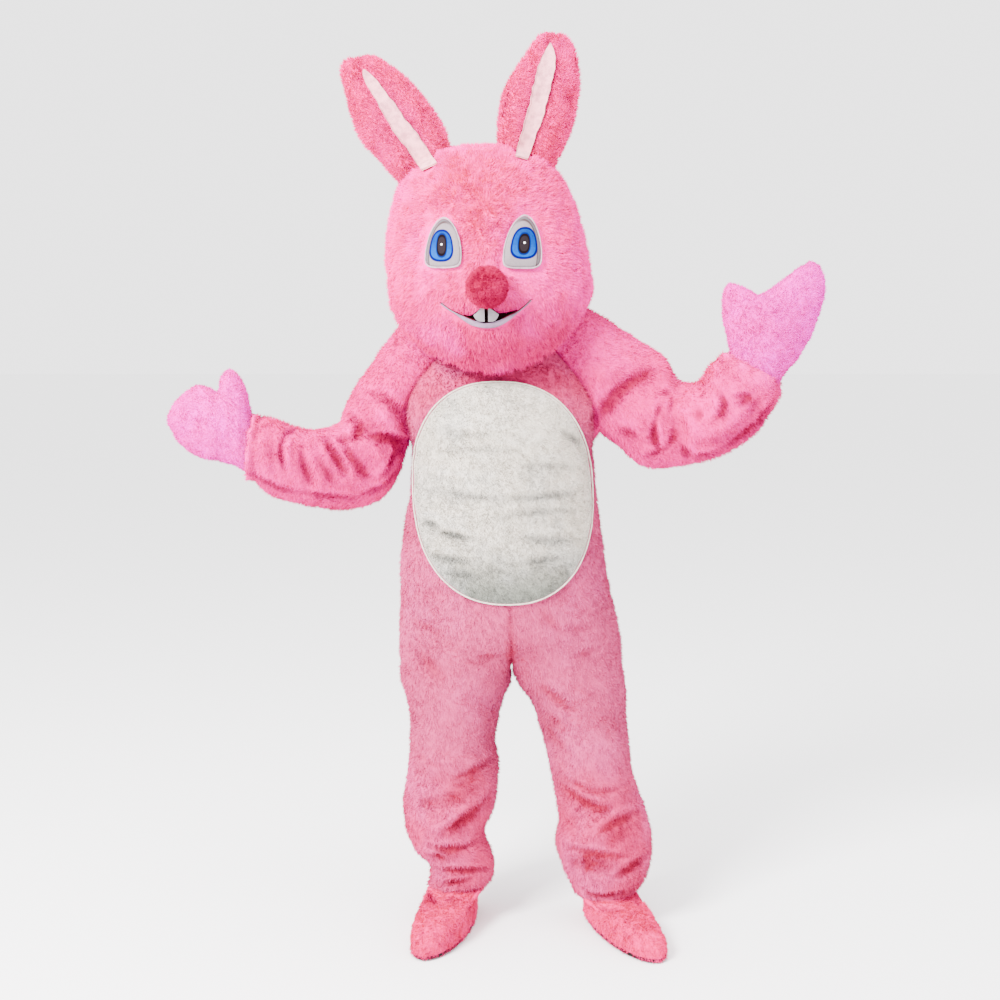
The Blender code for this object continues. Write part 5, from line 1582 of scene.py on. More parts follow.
@dataclass
class BellyPatch:
    """White plush patch on the fronts, its rolled edge and its stitches."""

    suit: Suit
    middle: tuple[float, float] = (0.006, 0.983)
    half: tuple[float, float] = (0.1945, 0.2375)
    lean: float = -0.040
    power: float = 2.35
    thick: float = 0.004
    lift: float = 0.0009
    welt_out: float = 0.0020
    welt_stand: float = 0.0034
    sink: float = 0.3
    rings: int = 54
    spokes: int = 156
    nap: Nap = Nap(per_area=330000, length=0.0055, width=0.0019, lean=1.0, tuft=0.8, tuft_size=0.009)
    cut: Cut = Cut(0.44, 0.54, 0.19, Held.LAID)

    def outline(self, turn: Array, grow: float = 0.0) -> tuple[Array, Array]:
        """Rounded outline, fuller than an oval at its corners and leaning a little."""
        cosine, sine = np.cos(turn), np.sin(turn)
        size = (np.abs(cosine) ** self.power + np.abs(sine) ** self.power) ** (-1 / self.power)
        wide, high = self.half
        up = (high + grow) * size * sine
        return self.middle[0] + (wide + grow) * size * cosine + self.lean * up, self.middle[1] + up

    def covers(self, points: Array, margin: float = 0.0) -> Array:
        """Which points of the fronts lie behind the patch."""
        up = points[..., 2] - self.middle[1]
        across = np.abs(points[..., 0] - self.middle[0] - self.lean * up) / (self.half[0] + margin)
        inside = across**self.power + (np.abs(up) / (self.half[1] + margin)) ** self.power < 1
        return inside & (points[..., 1] < 0)

    def dress(self) -> None:
        """Builds the patch, its pile, the rolled edge and the stitches round it."""
        edge_x, edge_z = self.outline(round_turn(self.spokes))
        share = np.linspace(0.0002, 1, self.rings)[:, None] ** 0.8
        x, z = (middle + share * (edge - middle) for middle, edge in zip(self.middle, (edge_x, edge_z)))
        points, normals = self.suit.front_point(x, z)
        cloth = Cloth.facing(points + normals * (self.lift + self.thick - 0.001), -1, wrapped=True)
        cloth.crease(MAIN_FOLDS)
        creases = PATCH_FOLDS.depth(cloth.points, cloth.normals()) * np.clip((1 - share) / 0.08, 0, 1)
        cloth.press(creases * self.sink, 1.0)
        # Painted shade in the creases, stronger than their sunk depth.
        cloth.fold = cloth.fold + creases / 0.0075
        cloth.rumple(0.0016, 0.045, 31, (1.8, 1, 0.8)).rumple(0.0008, 0.018, 37)
        cloth.press(0.002 * bell(1 - share, 0.025))
        # Painted shade on the lower part of the patch, where the belly turns down.
        low = np.clip((0.93 - cloth.points[..., 2]) / 0.17, 0, 1)
        cloth.fold = np.clip(cloth.fold * 0.9 + 0.38 * low**1.3, -0.5, 1)
        patch = add_cloth("belly_patch_plush", cloth, WHITE_NAP, "plush_white")
        kept = Cloth(cloth.points[:-1], cloth.outward, True, cloth.fold[:-1])
        pile = self.nap.grow("pile_patch", kept, downward(0.7, 0.9, 13), WHITE_NAP, "plush_white", 80)
        self.cut.declare(patch, cloth, "belly_patch", [pile], ["suit_front_left", "suit_front_right"])

        points, normals = self.suit.front_point(*self.outline(round_turn(260), self.welt_out))
        wobble = 0.0006 * lattice_noise(points, 0.012, 5)
        path = points + normals * (self.welt_stand - MAIN_FOLDS.depth(points, normals) + wobble)[:, None]
        welt = add_tube("patch_rolled_edge", path, normals, (0.0017, 0.0018), WELT_FELT)
        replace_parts(welt, "patch_edge")
        self.stitches(path, normals)

    @staticmethod
    def stitches(path: Array, normals: Array) -> None:
        """Whip stitches across the rolled edge: short slanting cords."""
        run = unit(np.roll(path, -1, axis=0) - np.roll(path, 1, axis=0))[::2]
        place, out = path[::2], normals[::2]
        across = unit(np.cross(run, out)) * 0.0030
        start, end = place - across - out * 0.001, place + across + run * 0.002 - out * 0.001
        middle = (start + end) / 2 + out * 0.0036
        add_cords("patch_stitches", np.stack([start, middle, end], axis=1), 0.0004, WELT_FELT)


@dataclass
class BackZip:
    """Closed zip behind the centre-back seam, seen only from inside."""

    low: float = 0.75
    half_width: float = 0.014
    thick: float = 0.002
    behind: float = 0.0085
    bow: float = 0.001
    cut: Cut = Cut(0.032, 0.68, 0.019, Held.HUNG)

    def dress(self) -> None:
        """One strip of tape and chain on the backing of both backs."""
        height = np.linspace(self.low, Suit.NECK_MIDDLE[Face.BACK] - 0.004, 140)[:, None]
        across = np.linspace(-1, 1, 9)
        seam, depth = (smooth(TRUNK, "height", name, height) for name in ("seam", "back"))
        y = np.abs(depth) - self.behind - self.bow * across**2
        cloth = Cloth.facing(spots(seam + across * self.half_width, y, height), 1)
        piece = add_cloth("back_zip_tape", cloth, ZIP, "zip_tape", wall=self.thick)
        self.cut.declare(piece, cloth, "back_zip", rests_on=["suit_back_left", "suit_back_right"])


# ---------------------------------------------------------------- head

HEAD_SECTIONS = lengths(
    "height right left front middle back",
    (1742, -45, -35, -15, -10, -5),
    (1738, -98, 20, -65, -10, 60),
    (1724, -146, 70, -108, -10, 102),
    (1698, -186, 114, -143, -10, 134),
    (1651, -224, 148, -180, -10, 164),
    (1597, -240, 169, -205, -15, 180),
    (1517, -250, 190, -226, -25, 182),
    (1432, -245, 204, -242, -45, 168),
    (1386, -236, 187, -247, -62, 150),
    (1343, -218, 162, -242, -80, 128),
    (1290, -166, 122, -212, -100, 90),
    (1252, -100, 62, -168, -110, 40),
    (1238, -30, -10, -120, -110, -60),
)
FORMS = lengths(
    "x z wide high out",
    (-66, 1405, 42, 30, 12),
    (10, 1407, 42, 30, 12),
    (-27, 1325, 60, 26, 8),
    (-120, 1520, 45, 55, -6),
    (48, 1522, 45, 55, -6),
)
MOUTH = lengths(
    "x lip_low lip_high gap_high",
    (-123, 1397, 1398, 1398),
    (-98, 1378.5, 1382, 1382),
    (-79, 1364, 1373, 1374),
    (-63, 1354, 1366, 1369.5),
    (-46, 1349, 1360, 1380),
    (-29, 1347, 1357, 1392.5),
    (-4, 1350, 1362, 1375.5),
    (17, 1361, 1372, 1377.5),
    (33, 1374, 1380, 1381.5),
    (50, 1389.5, 1393, 1393),
    (64, 1404, 1405, 1405),
)
TONGUES = lengths(
    "start_x start_z end_x end_z wide",
    (-172, 1722, -156, 1697, 16.5),
    (57, 1745, 48, 1716, 13.5),
)
EYES = table(
    "side x low_z half_width height lean lift",
    (-1, -0.120, 1.474, 0.0365, 0.100, 0.02, 0.0011),
    (1, 0.045, 1.472, 0.0385, 0.107, 0.06, 0.0018),
)
TEETH = table(
    "side inner outer top corner low",
    (-1, -0.0322, -0.0540, 1.3910, 1.3715, 1.3605),
    (1, -0.0250, -0.0035, 1.3880, 1.3735, 1.3605),
)


@dataclass
class Head:
    """Plush over foam, in a face half and a back half, open at the neck, with its face and ears."""

    rim_side: float = 8.04
    rim_power: float = 0.6
    rows: int = 62
    columns: int = 60
    pile_height: float = 0.006
    wall: float = 0.008
    nose_x: float = -0.027
    nose_z: float = 1.430
    nose_radius: float = 0.0445
    nose_stand: float = 0.72
    eye_waist: float = 0.24
    eye_base: float = 0.0030
    eye_dome: float = 0.0085
    edge_width: float = 0.0024
    edge_base: float = 0.0018
    edge_roll: float = 0.0022
    lip_base: float = 0.0012
    lip_roll: float = 0.0035
    tooth_stand: float = 0.0100
    nap: Nap = Nap(
        per_area=330000, length=0.014, width=0.0024, lean=1.0, tuft=0.9, tuft_size=0.018, chance=0.22
    )
    nose_nap: Nap = Nap(per_area=900000, length=0.007, width=0.0017, lean=0.6, tuft=1.0, tuft_size=0.008)

    RIM = {Face.FRONT: 10.9, Face.BACK: 7.6}
    CUTS = {
        Face.FRONT: Cut(0.66, 0.62, 0.29, Held.STRETCHED),
        Face.BACK: Cut(0.62, 0.56, 0.23, Held.STRETCHED),
    }
    PAINTS = {
        Side.RIGHT: EyePaint(
            "eye_paint_right", iris=(-0.06, 0.431, 0.66, 0.335), pupil=(-0.03, 0.435, 0.27, 0.222),
            glint=(-0.04, 0.454), temple=-1, aspect=2.74
        ),
        Side.LEFT: EyePaint(
            "eye_paint_left", iris=(0.03, 0.465, 0.70, 0.314), pupil=(0.02, 0.452, 0.30, 0.192),
            glint=(0.03, 0.469), temple=1, aspect=2.78
        ),
    }

    @staticmethod
    def row_at(z: Array) -> Array:
        """Row number of the sections at a height."""
        rows = np.linspace(0, len(HEAD_SECTIONS["height"]) - 1, 400)
        return np.interp(-z, -along(HEAD_SECTIONS, "height", rows), rows)

    def at(self, face: Face, turn: Array, row: Array) -> Array:
        """Point of the head: turn goes from the middle of the face or nape to the sides."""
        left, right, middle = (along(HEAD_SECTIONS, name, row) for name in ("left", "right", "middle"))
        depth = np.abs(along(HEAD_SECTIONS, face.word, row) - middle)
        x = (left + right) / 2 + (left - right) / 2 * np.sin(turn)
        return spots(x, middle + face.value * depth * np.cos(turn), along(HEAD_SECTIONS, "height", row))

    def form(self, points: Array, normals: Array) -> Array:
        """How far the muzzle, chin and eye hollows stand out from the plain head."""
        total = np.zeros(points.shape[:-1])
        for x, z, wide, high, out in zip(*FORMS.values()):
            total += out * bell(points[..., 0] - x, wide) * bell(points[..., 2] - z, high)
        return total * np.clip(-normals[..., 1] * 2, 0, 1)

    def half(self, face: Face) -> Cloth:
        """Rows from the crown to the rim that the neck passes through."""
        turn = np.linspace(-QUARTER, QUARTER, self.columns + 1)
        inward = np.abs(np.cos(turn)) ** self.rim_power
        rim = self.rim_side + (self.RIM[face] - self.rim_side) * inward
        points = self.at(face, turn, np.linspace(0, 1, self.rows + 1)[:, None] * rim)
        normals = grid_normals(points, False, face.value)
        points = points + normals * self.form(points, normals)[..., None]
        cloth = Cloth(points - np.array([0, 0, HEAD_DROP]), face.value)
        return cloth.rumple(0.0015, 0.06, 51).inset(self.pile_height)

    def face_at(self, x: Array, z: Array, lift: Number = 0.0) -> tuple[Array, Array]:
        """Point of the formed face at a lift, and its outward normal, at a place seen square on."""
        row = self.row_at(z)
        left, right = along(HEAD_SECTIONS, "left", row), along(HEAD_SECTIONS, "right", row)
        turn = np.arcsin(np.clip((x - (left + right) / 2) / ((left - right) / 2), -0.98, 0.98))
        step = 1e-2
        here, beside, below = (
            self.at(Face.FRONT, turn + more, row + down) for more, down in ((0, 0), (step, 0), (0, step))
        )
        normals = unit(np.cross(below - here, beside - here))
        out = self.form(here, normals) + lift
        return here + normals * out[..., None] - np.array([0, 0, HEAD_DROP]), normals

    def bare(self, points: Array) -> Array:
        """Share of the pile's length: none under the eyes, nose and mouth, short round them."""
        x, y, z = points[:, 0], points[:, 1], points[:, 2] + HEAD_DROP
        share = np.ones(len(points))
        margin = 0.005
        for _, eye_x, low, half_width, height, lean, _ in zip(*EYES.values()):
            below = self.eye_waist * height
            up = z - low - below
            above = up > 0
            across = np.abs(x - eye_x - lean * (z - low)) / (half_width + margin)
            up = np.abs(up) / (np.where(above, height - below, below) + margin)
            power = np.where(above, 2.0, 4.0)
            away = (across**power + up**power) ** (1 / power)
            share = np.minimum(share, np.clip((away - 1) / 0.45, 0, 1) + 0.25 * (away > 1))
        nose = np.hypot(x - self.nose_x, z - self.nose_z) / self.nose_radius
        share = np.minimum(share, np.clip((nose - 0.72) / 0.8, 0, 1) + 0.3 * (nose > 0.72))
        low = smooth(MOUTH, "x", "lip_low", x) - 0.002
        high = smooth(MOUTH, "x", "gap_high", x) + 0.001
        outside = np.maximum(np.maximum(low - z, z - high), np.maximum(-0.126 - x, x - 0.066))
        share = np.minimum(share, np.clip(outside / 0.018, 0, 1) + 0.3 * (outside > 0.001))
        share = np.where(y < -0.12, np.minimum(share, 1), 1.0)
        for start_x, start_z, end_x, end_z, wide in zip(*TONGUES.values()):
            run = np.array([end_x - start_x, end_z - start_z])
            place = np.clip((x - start_x) * run[0] + (z - start_z) * run[1], 0, run @ run) / (run @ run)
            away = np.hypot(x - start_x - place * run[0], z - start_z - place * run[1])
            share = np.where(y < 0, np.minimum(share, np.clip((away - wide) / 0.012, 0, 1)), share)
        return share * (1 + 0.35 * np.clip((1.335 - z) / 0.05, 0, 1))

    def dress(self) -> None:
        """Builds both halves with their pile, then the face."""
        lay = away_from((-0.03, -0.20, 1.50), 0.75)
        coarse = replace(self.nap, per_area=250000, width=0.0028)
        for face, nap, scale, seed in ((Face.FRONT, self.nap, self.bare, 90), (Face.BACK, coarse, None, 91)):
            cloth = self.half(face)
            name = f"head_{face.word}"
            piece = add_cloth(f"{name}_plush", cloth, HEAD_PILE, "plush_hot_pink", self.wall, FOAM)
            pile = nap.grow(f"pile_{name}", cloth, lay, HEAD_PILE, "plush_hot_pink", seed, scale)
            self.CUTS[face].declare(piece, cloth, name, [pile])
        self.eyes()
        self.nose()
        self.mouth()

    def eye_outline(self, turn: Array, half_width: float, height: float, lean: float) -> tuple[Array, Array]:
        """Arch: half an oval above its waist, and a foot with nearly square corners below."""
        cosine, sine = np.cos(turn), np.sin(turn)
        low = sine < 0
        power = np.where(low, 0.5, 1.12)
        waist = height * self.eye_waist
        z = waist + np.where(low, waist, height - waist) * np.sign(sine) * np.abs(sine) ** power
        return half_width * np.sign(cosine) * np.abs(cosine) ** power + lean * z, z

    def eyes(self) -> None:
        """Domed painted eyes, each in a rolled felt edge."""
        for sign, x, low, half_width, height, lean, lift in zip(*EYES.values()):
            side = Side(int(sign))
            edge_x, edge_z = self.eye_outline(round_turn(84), half_width, height, lean)
            middle = low + height * 0.45
            share = np.linspace(0.01, 1, 12)[:, None]
            at_x, at_z = x + share * edge_x, middle + share * (low + edge_z - middle)
            dome = self.eye_base + self.eye_dome * (1 - share**2) ** 0.8
            top, base = (self.face_at(at_x, at_z, lift + stand)[0] for stand in (dome, -0.001))
            eye = add_wall(f"eye_{side.word}_shell", top, base, self.PAINTS[side], "eye_enamel", plate=True)
            map_points(eye, (at_x - x - lean * (at_z - low)) / half_width / 2 + 0.5, (at_z - low) / height)
            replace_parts(eye, f"eye_{side.word}")

            reach = np.linspace(0, 1, 7)[:, None]
            grow = 1 + (0.0002 + self.edge_width * reach) / half_width
            at_x, at_z = x + grow * edge_x, middle + grow * (low + edge_z - middle)
            roll = self.edge_base + self.edge_roll * np.sqrt(np.clip(1 - (1.7 * reach - 0.7) ** 2, 0, 1))
            cloth = Cloth.facing(self.face_at(at_x, at_z, lift + roll)[0], -1, wrapped=True)
            cloth.press(0.0005 * lattice_noise(cloth.points, 0.006, 3))
            rim = add_cloth(f"eye_edge_{side.word}", cloth, RIM_FELT, "felt_white", wall=0.002)
            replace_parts(rim, f"eye_rim_{side.word}")

    def nose(self) -> None:
        """Stuffed plush ball, flattened where it is sewn to the muzzle."""
        seat, _ = self.face_at(np.array([self.nose_x]), np.array([self.nose_z]))
        centre = seat[0] - np.array([0, self.nose_radius * self.nose_stand, 0])
        polar = np.linspace(0.01, QUARTER, 22)[:, None]
        turn = round_turn(64)

        def half(way: float, angle: Array) -> Array:
            """Half a ball toward -Y (way -1) or the muzzle (1)."""
            across = np.sin(angle)
            ball = spots(across * np.cos(turn), way * np.cos(angle), across * np.sin(turn))
            return centre + (self.nose_radius - 0.003) * ball

        front, rear = half(-1, polar), half(1, polar * 0.998)
        ledge, _ = self.face_at(rear[..., 0], rear[..., 2] + HEAD_DROP, 0.001)
        rear[..., 1] = np.minimum(rear[..., 1], ledge[..., 1])
        ball = add_wall("nose_ball", front, rear, NOSE_PILE, "plush_red_pink", plate=True)
        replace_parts(ball, "nose")
        skin = Cloth.facing(front, -1, wrapped=True)
        lay = away_from(centre - [0, 0.06, -0.02], 0.4)
        self.nose_nap.grow("pile_nose", skin, lay, NOSE_PILE, "plush_red_pink", 97)

    def mouth(self) -> None:
        """Padded lower lip, the dark mesh above it and two teeth in front of the mesh."""
        x = np.linspace(MOUTH["x"][0], MOUTH["x"][-1], 90)[:, None]
        low, high, top = (smooth(MOUTH, "x", name, x) for name in ("lip_low", "lip_high", "gap_high"))
        share = np.linspace(0, 1, 9)
        end = np.clip(np.minimum(x - x[0], x[-1] - x) / 0.015, 0.05, 1) ** 0.5
        roll = self.lip_base + self.lip_roll * end * np.sqrt(np.clip(1 - (2 * share - 1) ** 2, 0, 1))
        lip = (x, low + (high - low) * share, roll)
        self.plate("mouth_lip_pad", lip, LIP, "lip_lilac", "mouth_lip", 0.003)
        opened = (top - high > 0.0012)[:, 0]
        x, high, top = x[opened], high[opened], top[opened]
        sunk = 0.0018 - 0.003 * np.sin(math.pi * share)
        gap = (x, high + 0.0005 + (top - high) * share, sunk)
        self.plate("mouth_dark_mesh", gap, MOUTH_MESH, "mesh_dark", "mouth_mesh", 0.002)
        across, up = np.linspace(0, 1, 15), np.linspace(0, 1, 13)[:, None]
        for sign, inner, outer, tall, corner, foot in zip(*TEETH.values()):
            low_edge = foot + (corner - foot) * across**4
            at_z = low_edge + (tall + (corner - tall) * across + 0.0008 - low_edge) * up
            dome = self.tooth_stand - 0.0020 * (2 * across - 1) ** 2 - 0.0018 * (1 - up) ** 3
            name = f"tooth_{Side(int(sign)).word}"
            shape = (inner + (outer - inner) * across, at_z, dome)
            self.plate(f"{name}_shell", shape, TOOTH, "tooth", name, 0.005)
        line_x = np.linspace((-0.124, 0.004), (-0.052, 0.066), 24, axis=1)
        line, _ = self.face_at(line_x, smooth(MOUTH, "x", "lip_high", line_x) + 0.001, 0.0045)
        add_cords("mouth_line", line, 0.0011, STITCHING)

    def plate(self, name: str, place: tuple[Array, Array, Array], finish: Finish, slot: str, node: str,
              wall: float) -> None:
        """Builds a plate on the face, from its x, its height and its lift, that stands in for a node."""
        cloth = Cloth.facing(self.face_at(*place)[0], -1)
        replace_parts(add_cloth(name, cloth, finish, slot, wall), node)


EAR_SECTIONS = {
    Side.RIGHT: lengths(
        "outer_x outer_z inner_x inner_z thick",
        (-232, 1668, -98, 1722, 26),
        (-266, 1710, -118, 1770, 29),
        (-302, 1754, -144, 1810, 30),
        (-321, 1800, -172, 1848, 29),
        (-334, 1850, -205, 1884, 26),
        (-343, 1890, -238, 1910, 21),
        (-341, 1914, -268, 1927, 14),
        (-322, 1926, -292, 1932, 6),
    ),
    Side.LEFT: lengths(
        "outer_x outer_z inner_x inner_z thick",
        (130, 1700, -10, 1736, 26),
        (148, 1752, -5, 1782, 29),
        (162, 1805, 3, 1830, 30),
        (169, 1850, 14, 1866, 29),
        (170, 1892, 34, 1902, 26),
        (165, 1930, 60, 1938, 21),
        (149, 1962, 82, 1970, 14),
        (130, 1978, 101, 1982, 6),
    ),
}
EAR_STRIP = {
    Side.RIGHT: table(
        "row share half",
        (0.40, 0.085, 0.235),
        (1.00, 0.060, 0.230),
        (2.00, 0.045, 0.215),
        (3.10, 0.010, 0.195),
        (4.00, -0.060, 0.185),
        (4.60, -0.080, 0.150),
        (5.00, -0.070, 0.040),
    ),
    Side.LEFT: table(
        "row share half",
        (0.40, 0.120, 0.195),
        (0.80, 0.100, 0.200),
        (1.60, 0.040, 0.210),
        (2.70, 0.020, 0.225),
        (4.00, 0.040, 0.260),
        (4.90, 0.100, 0.240),
        (5.60, 0.150, 0.030),
    ),
}
EAR_DASHES = {
    Side.RIGHT: (),
    Side.LEFT: ((0.88, 2.51), (0.89, 1.91), (0.90, 1.51), (-0.92, 4.78), (-0.92, 4.45)),
}


@dataclass
class Ear:
    """Stuffed ear in two halves, with a pale felt strip in the front's groove."""

    side: Side
    head: Head
    middle: float = -0.035
    lean: float = -0.06
    lean_from: float = 1.7
    valley: float = 0.62
    valley_width: float = 0.34
    root_depth: float = 0.30
    rows: int = 42
    columns: int = 30
    pile_height: float = 0.005
    strip_drop: float = 0.031
    strip_lift: float = 0.0105
    nap: Nap = Nap(
        per_area=330000, length=0.0085, width=0.0024, lean=1.5, tuft=0.3, tuft_size=0.015, chance=0.06
    )
    cut: Cut = Cut(0.05, 0.25, 0.010, Held.LAID)

    def __post_init__(self) -> None:
        """Picks the side's sections."""
        self.sections = EAR_SECTIONS[self.side]
        self.last = len(self.sections["thick"]) - 1.0

    def at(self, face: Face, share: Array, row: Array) -> Array:
        """Point of the ear: share from the outer (-1) to the inner edge (1), row to the tip."""
        outer, inner = edge_at(self.sections, "outer", row), edge_at(self.sections, "inner", row)
        flat = (outer + inner) / 2 + (inner - outer) / 2 * share[..., None]
        thick = along(self.sections, "thick", row) * np.sqrt(np.maximum(0.0, 1 - share**2))
        if face is Face.FRONT:
            valley = self.valley * bell(share, self.valley_width)
            thick = thick * (1 - valley * np.clip(1.25 * (self.last - row) / self.last, 0, 1))
        y = self.middle + self.lean * (flat[..., 1] - self.lean_from) + face.value * thick
        return spots(flat[..., 0], y, flat[..., 1] - HEAD_DROP)

    @staticmethod
    def inside_head(points: Array) -> Array:
        """Whether points lie inside the head's oval sections."""
        x, y, z = points[..., 0], points[..., 1], points[..., 2] + HEAD_DROP
        row = Head.row_at(z)
        left, right, middle, front, back = (
            along(HEAD_SECTIONS, name, row) for name in ("left", "right", "middle", "front", "back")
        )
        depth = np.abs(np.where(y < middle, front, back) - middle)
        across = (x - (left + right) / 2) / ((left - right) / 2)
        return (across**2 + ((y - middle) / depth) ** 2 < 0.94) & (z < HEAD_SECTIONS["height"][0])

    def half(self, face: Face) -> Cloth:
        """Rows from the head to the tip; the root runs straight down into the head's pile."""
        share = np.sin(np.linspace(-QUARTER, QUARTER, self.columns + 1))
        upper = self.at(face, share, np.linspace(2 * self.last / 11, self.last, self.rows)[:, None])
        heel = self.at(Face.BACK, np.zeros(2), np.array([0.0, 1.0]))
        heel[:, 1] = self.middle
        target = heel[0] + unit(heel[0] - heel[1]) * self.root_depth
        way = unit(target - upper[0])
        steps = np.linspace(0, 0.2, 160)[:, None, None]
        hit = self.inside_head(upper[0] + steps * way).argmax(axis=0)
        root = upper[0] + way * steps[hit, 0] * np.linspace(1, 0, 12)[:-1, None, None]
        cloth = Cloth.facing(np.concatenate([root, upper]), face.value)
        fade = np.clip(np.minimum(1 - share, 1 + share) / 0.1, 0, 1)
        cloth.press(0.0015 * lattice_noise(cloth.points, 0.035, 61) * fade)
        return cloth.press(self.pile_height * fade, 1.0)

    def strip(self) -> Array:
        """Builds the felt strip, with a tongue that laps onto the head, and returns its points."""
        rows = EAR_STRIP[self.side]
        row = np.linspace(rows["row"][0], rows["row"][-1], 46)[:, None]
        half = smooth(rows, "row", "half", row) * (1 + 0.05 * np.sin(row * 5.0) + 0.04 * np.sin(row * 11.0))
        share = smooth(rows, "row", "share", row) + np.linspace(-1, 1, 11) * half
        points = self.at(Face.FRONT, share, row) + np.array([0, -0.0035, 0])
        first = points[0]
        run = unit((first - points[6]) * np.array([1, 0, 1]))
        reach = np.linspace(self.strip_drop, 0, 10)[:-1, None]
        tongue = first + run * reach[..., None]
        skin, _ = self.head.face_at(tongue[..., 0], tongue[..., 2] + HEAD_DROP, self.strip_lift)
        onto = np.clip(reach / self.strip_drop * 1.6, 0, 1)
        tongue[..., 1] = (1 - onto) * first[:, 1] + onto * np.minimum(skin[..., 1], first[:, 1])
        points = np.concatenate([tongue, points])
        word = self.side.word
        cloth = Cloth.facing(points, -1).rumple(0.0012, 0.03, 71).rumple(0.0006, 0.010, 72)
        piece = add_cloth(f"ear_strip_{word}_felt", cloth, STRIP_FELT, "strip_cream")
        self.cut.declare(piece, cloth, f"ear_strip_{word}", rests_on=[f"ear_front_{word}_half"])
        return points

    def dress(self) -> None:
        """Builds the strip, the stuffed halves with their pile, and the few dashes."""
        strip = self.strip()[..., [0, 2]]
        width = np.linalg.norm(strip[:, 0] - strip[:, 5], axis=-1)

        def uncovered(points: Array) -> Array:
            """Share of the pile's length: none under the strip."""
            apart = np.linalg.norm(points[:, None, [0, 2]] - strip[:, 5], axis=-1)
            free = apart.min(axis=-1) - width[apart.argmin(axis=-1)]
            ahead = points[:, 1] < self.middle + 0.02
            return np.where(ahead, np.clip(free / 0.012 + 0.45, 0, 1) * (free > -0.001), 1)

        share = np.abs(np.sin(np.linspace(-QUARTER, QUARTER, self.columns + 1)))
        for face, dark, scale, seed in ((Face.FRONT, 0.3, uncovered, 100), (Face.BACK, 0.0, None, 101)):
            cloth = self.half(face)
            name = f"ear_{face.word}_{self.side.word}"
            plane = self.middle + self.lean * (cloth.points[..., 2] + HEAD_DROP - self.lean_from)
            thick = np.clip(2 * np.abs(cloth.points[..., 1] - plane), 0.0006, 0.05)
            inner = cloth.points.copy()
            inner[..., 1] -= face.value * (thick / 2 - 0.0003)
            half = add_wall(f"{name}_half", cloth.points, inner, EAR_PILE, "plush_hot_pink")
            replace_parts(half, name)
            root, tip = self.at(face, np.zeros(2), np.array([0.0, self.last]))
            onward = unit(tip - root) * 0.8 + np.array([0, 0, -0.5])
            lay = brushed(lambda points, onward=onward: onward, 0.6, 0.04, 77)
            # Painted shade beside the strip's groove on the front half's pile, as strong as dark.
            cloth.fold = np.tile(dark * bell(share - 0.3, 0.22), (len(cloth.points), 1))
            self.nap.grow(f"pile_{name}", cloth, lay, EAR_PILE, "plush_hot_pink", seed, scale)

        if EAR_DASHES[self.side]:
            share, row = np.array(EAR_DASHES[self.side]).T[..., None]
            line = self.at(Face.FRONT, share, row + 0.13 * np.linspace(-1, 1, 4)) + np.array([0, -0.004, 0])
            add_cords(f"ear_dashes_{self.side.word}", line, 0.0012, STITCHING)


# ---------------------------------------------------------------- mittens and feet

MITTEN_RINGS = {
    Side.RIGHT: lengths(
        "top_x top_z low_x low_z middle half_depth",
        (-548, 1206, -573, 1039, -138, 52),
        (-561, 1236, -580, 1041, -140, 50),
        (-583, 1254, -592, 1044, -142, 48),
        (-601, 1239, -606, 1048, -143, 46),
        (-609, 1206, -616, 1050, -144, 44),
        (-629, 1215, -636, 1054, -146, 42),
        (-655, 1219, -660, 1063, -147, 38),
        (-683, 1202, -684, 1080, -148, 32),
        (-705, 1180, -703, 1104, -149, 22),
        (-714, 1158, -713, 1130, -150, 8),
    ),
    Side.LEFT: lengths(
        "top_x top_z low_x low_z middle half_depth",
        (481, 1346, 645, 1270, -128, 52),
        (478, 1389, 655, 1289, -130, 50),
        (480, 1421, 664, 1306, -131, 48),
        (497, 1438, 673, 1325, -132, 46),
        (534, 1419, 684, 1352, -133, 44),
        (553, 1408, 690, 1374, -134, 42),
        (580, 1425, 696, 1393, -135, 40),
        (609, 1447, 700, 1421, -136, 34),
        (639, 1472, 697, 1449, -137, 24),
        (660, 1482, 688, 1467, -138, 9),
    ),
}


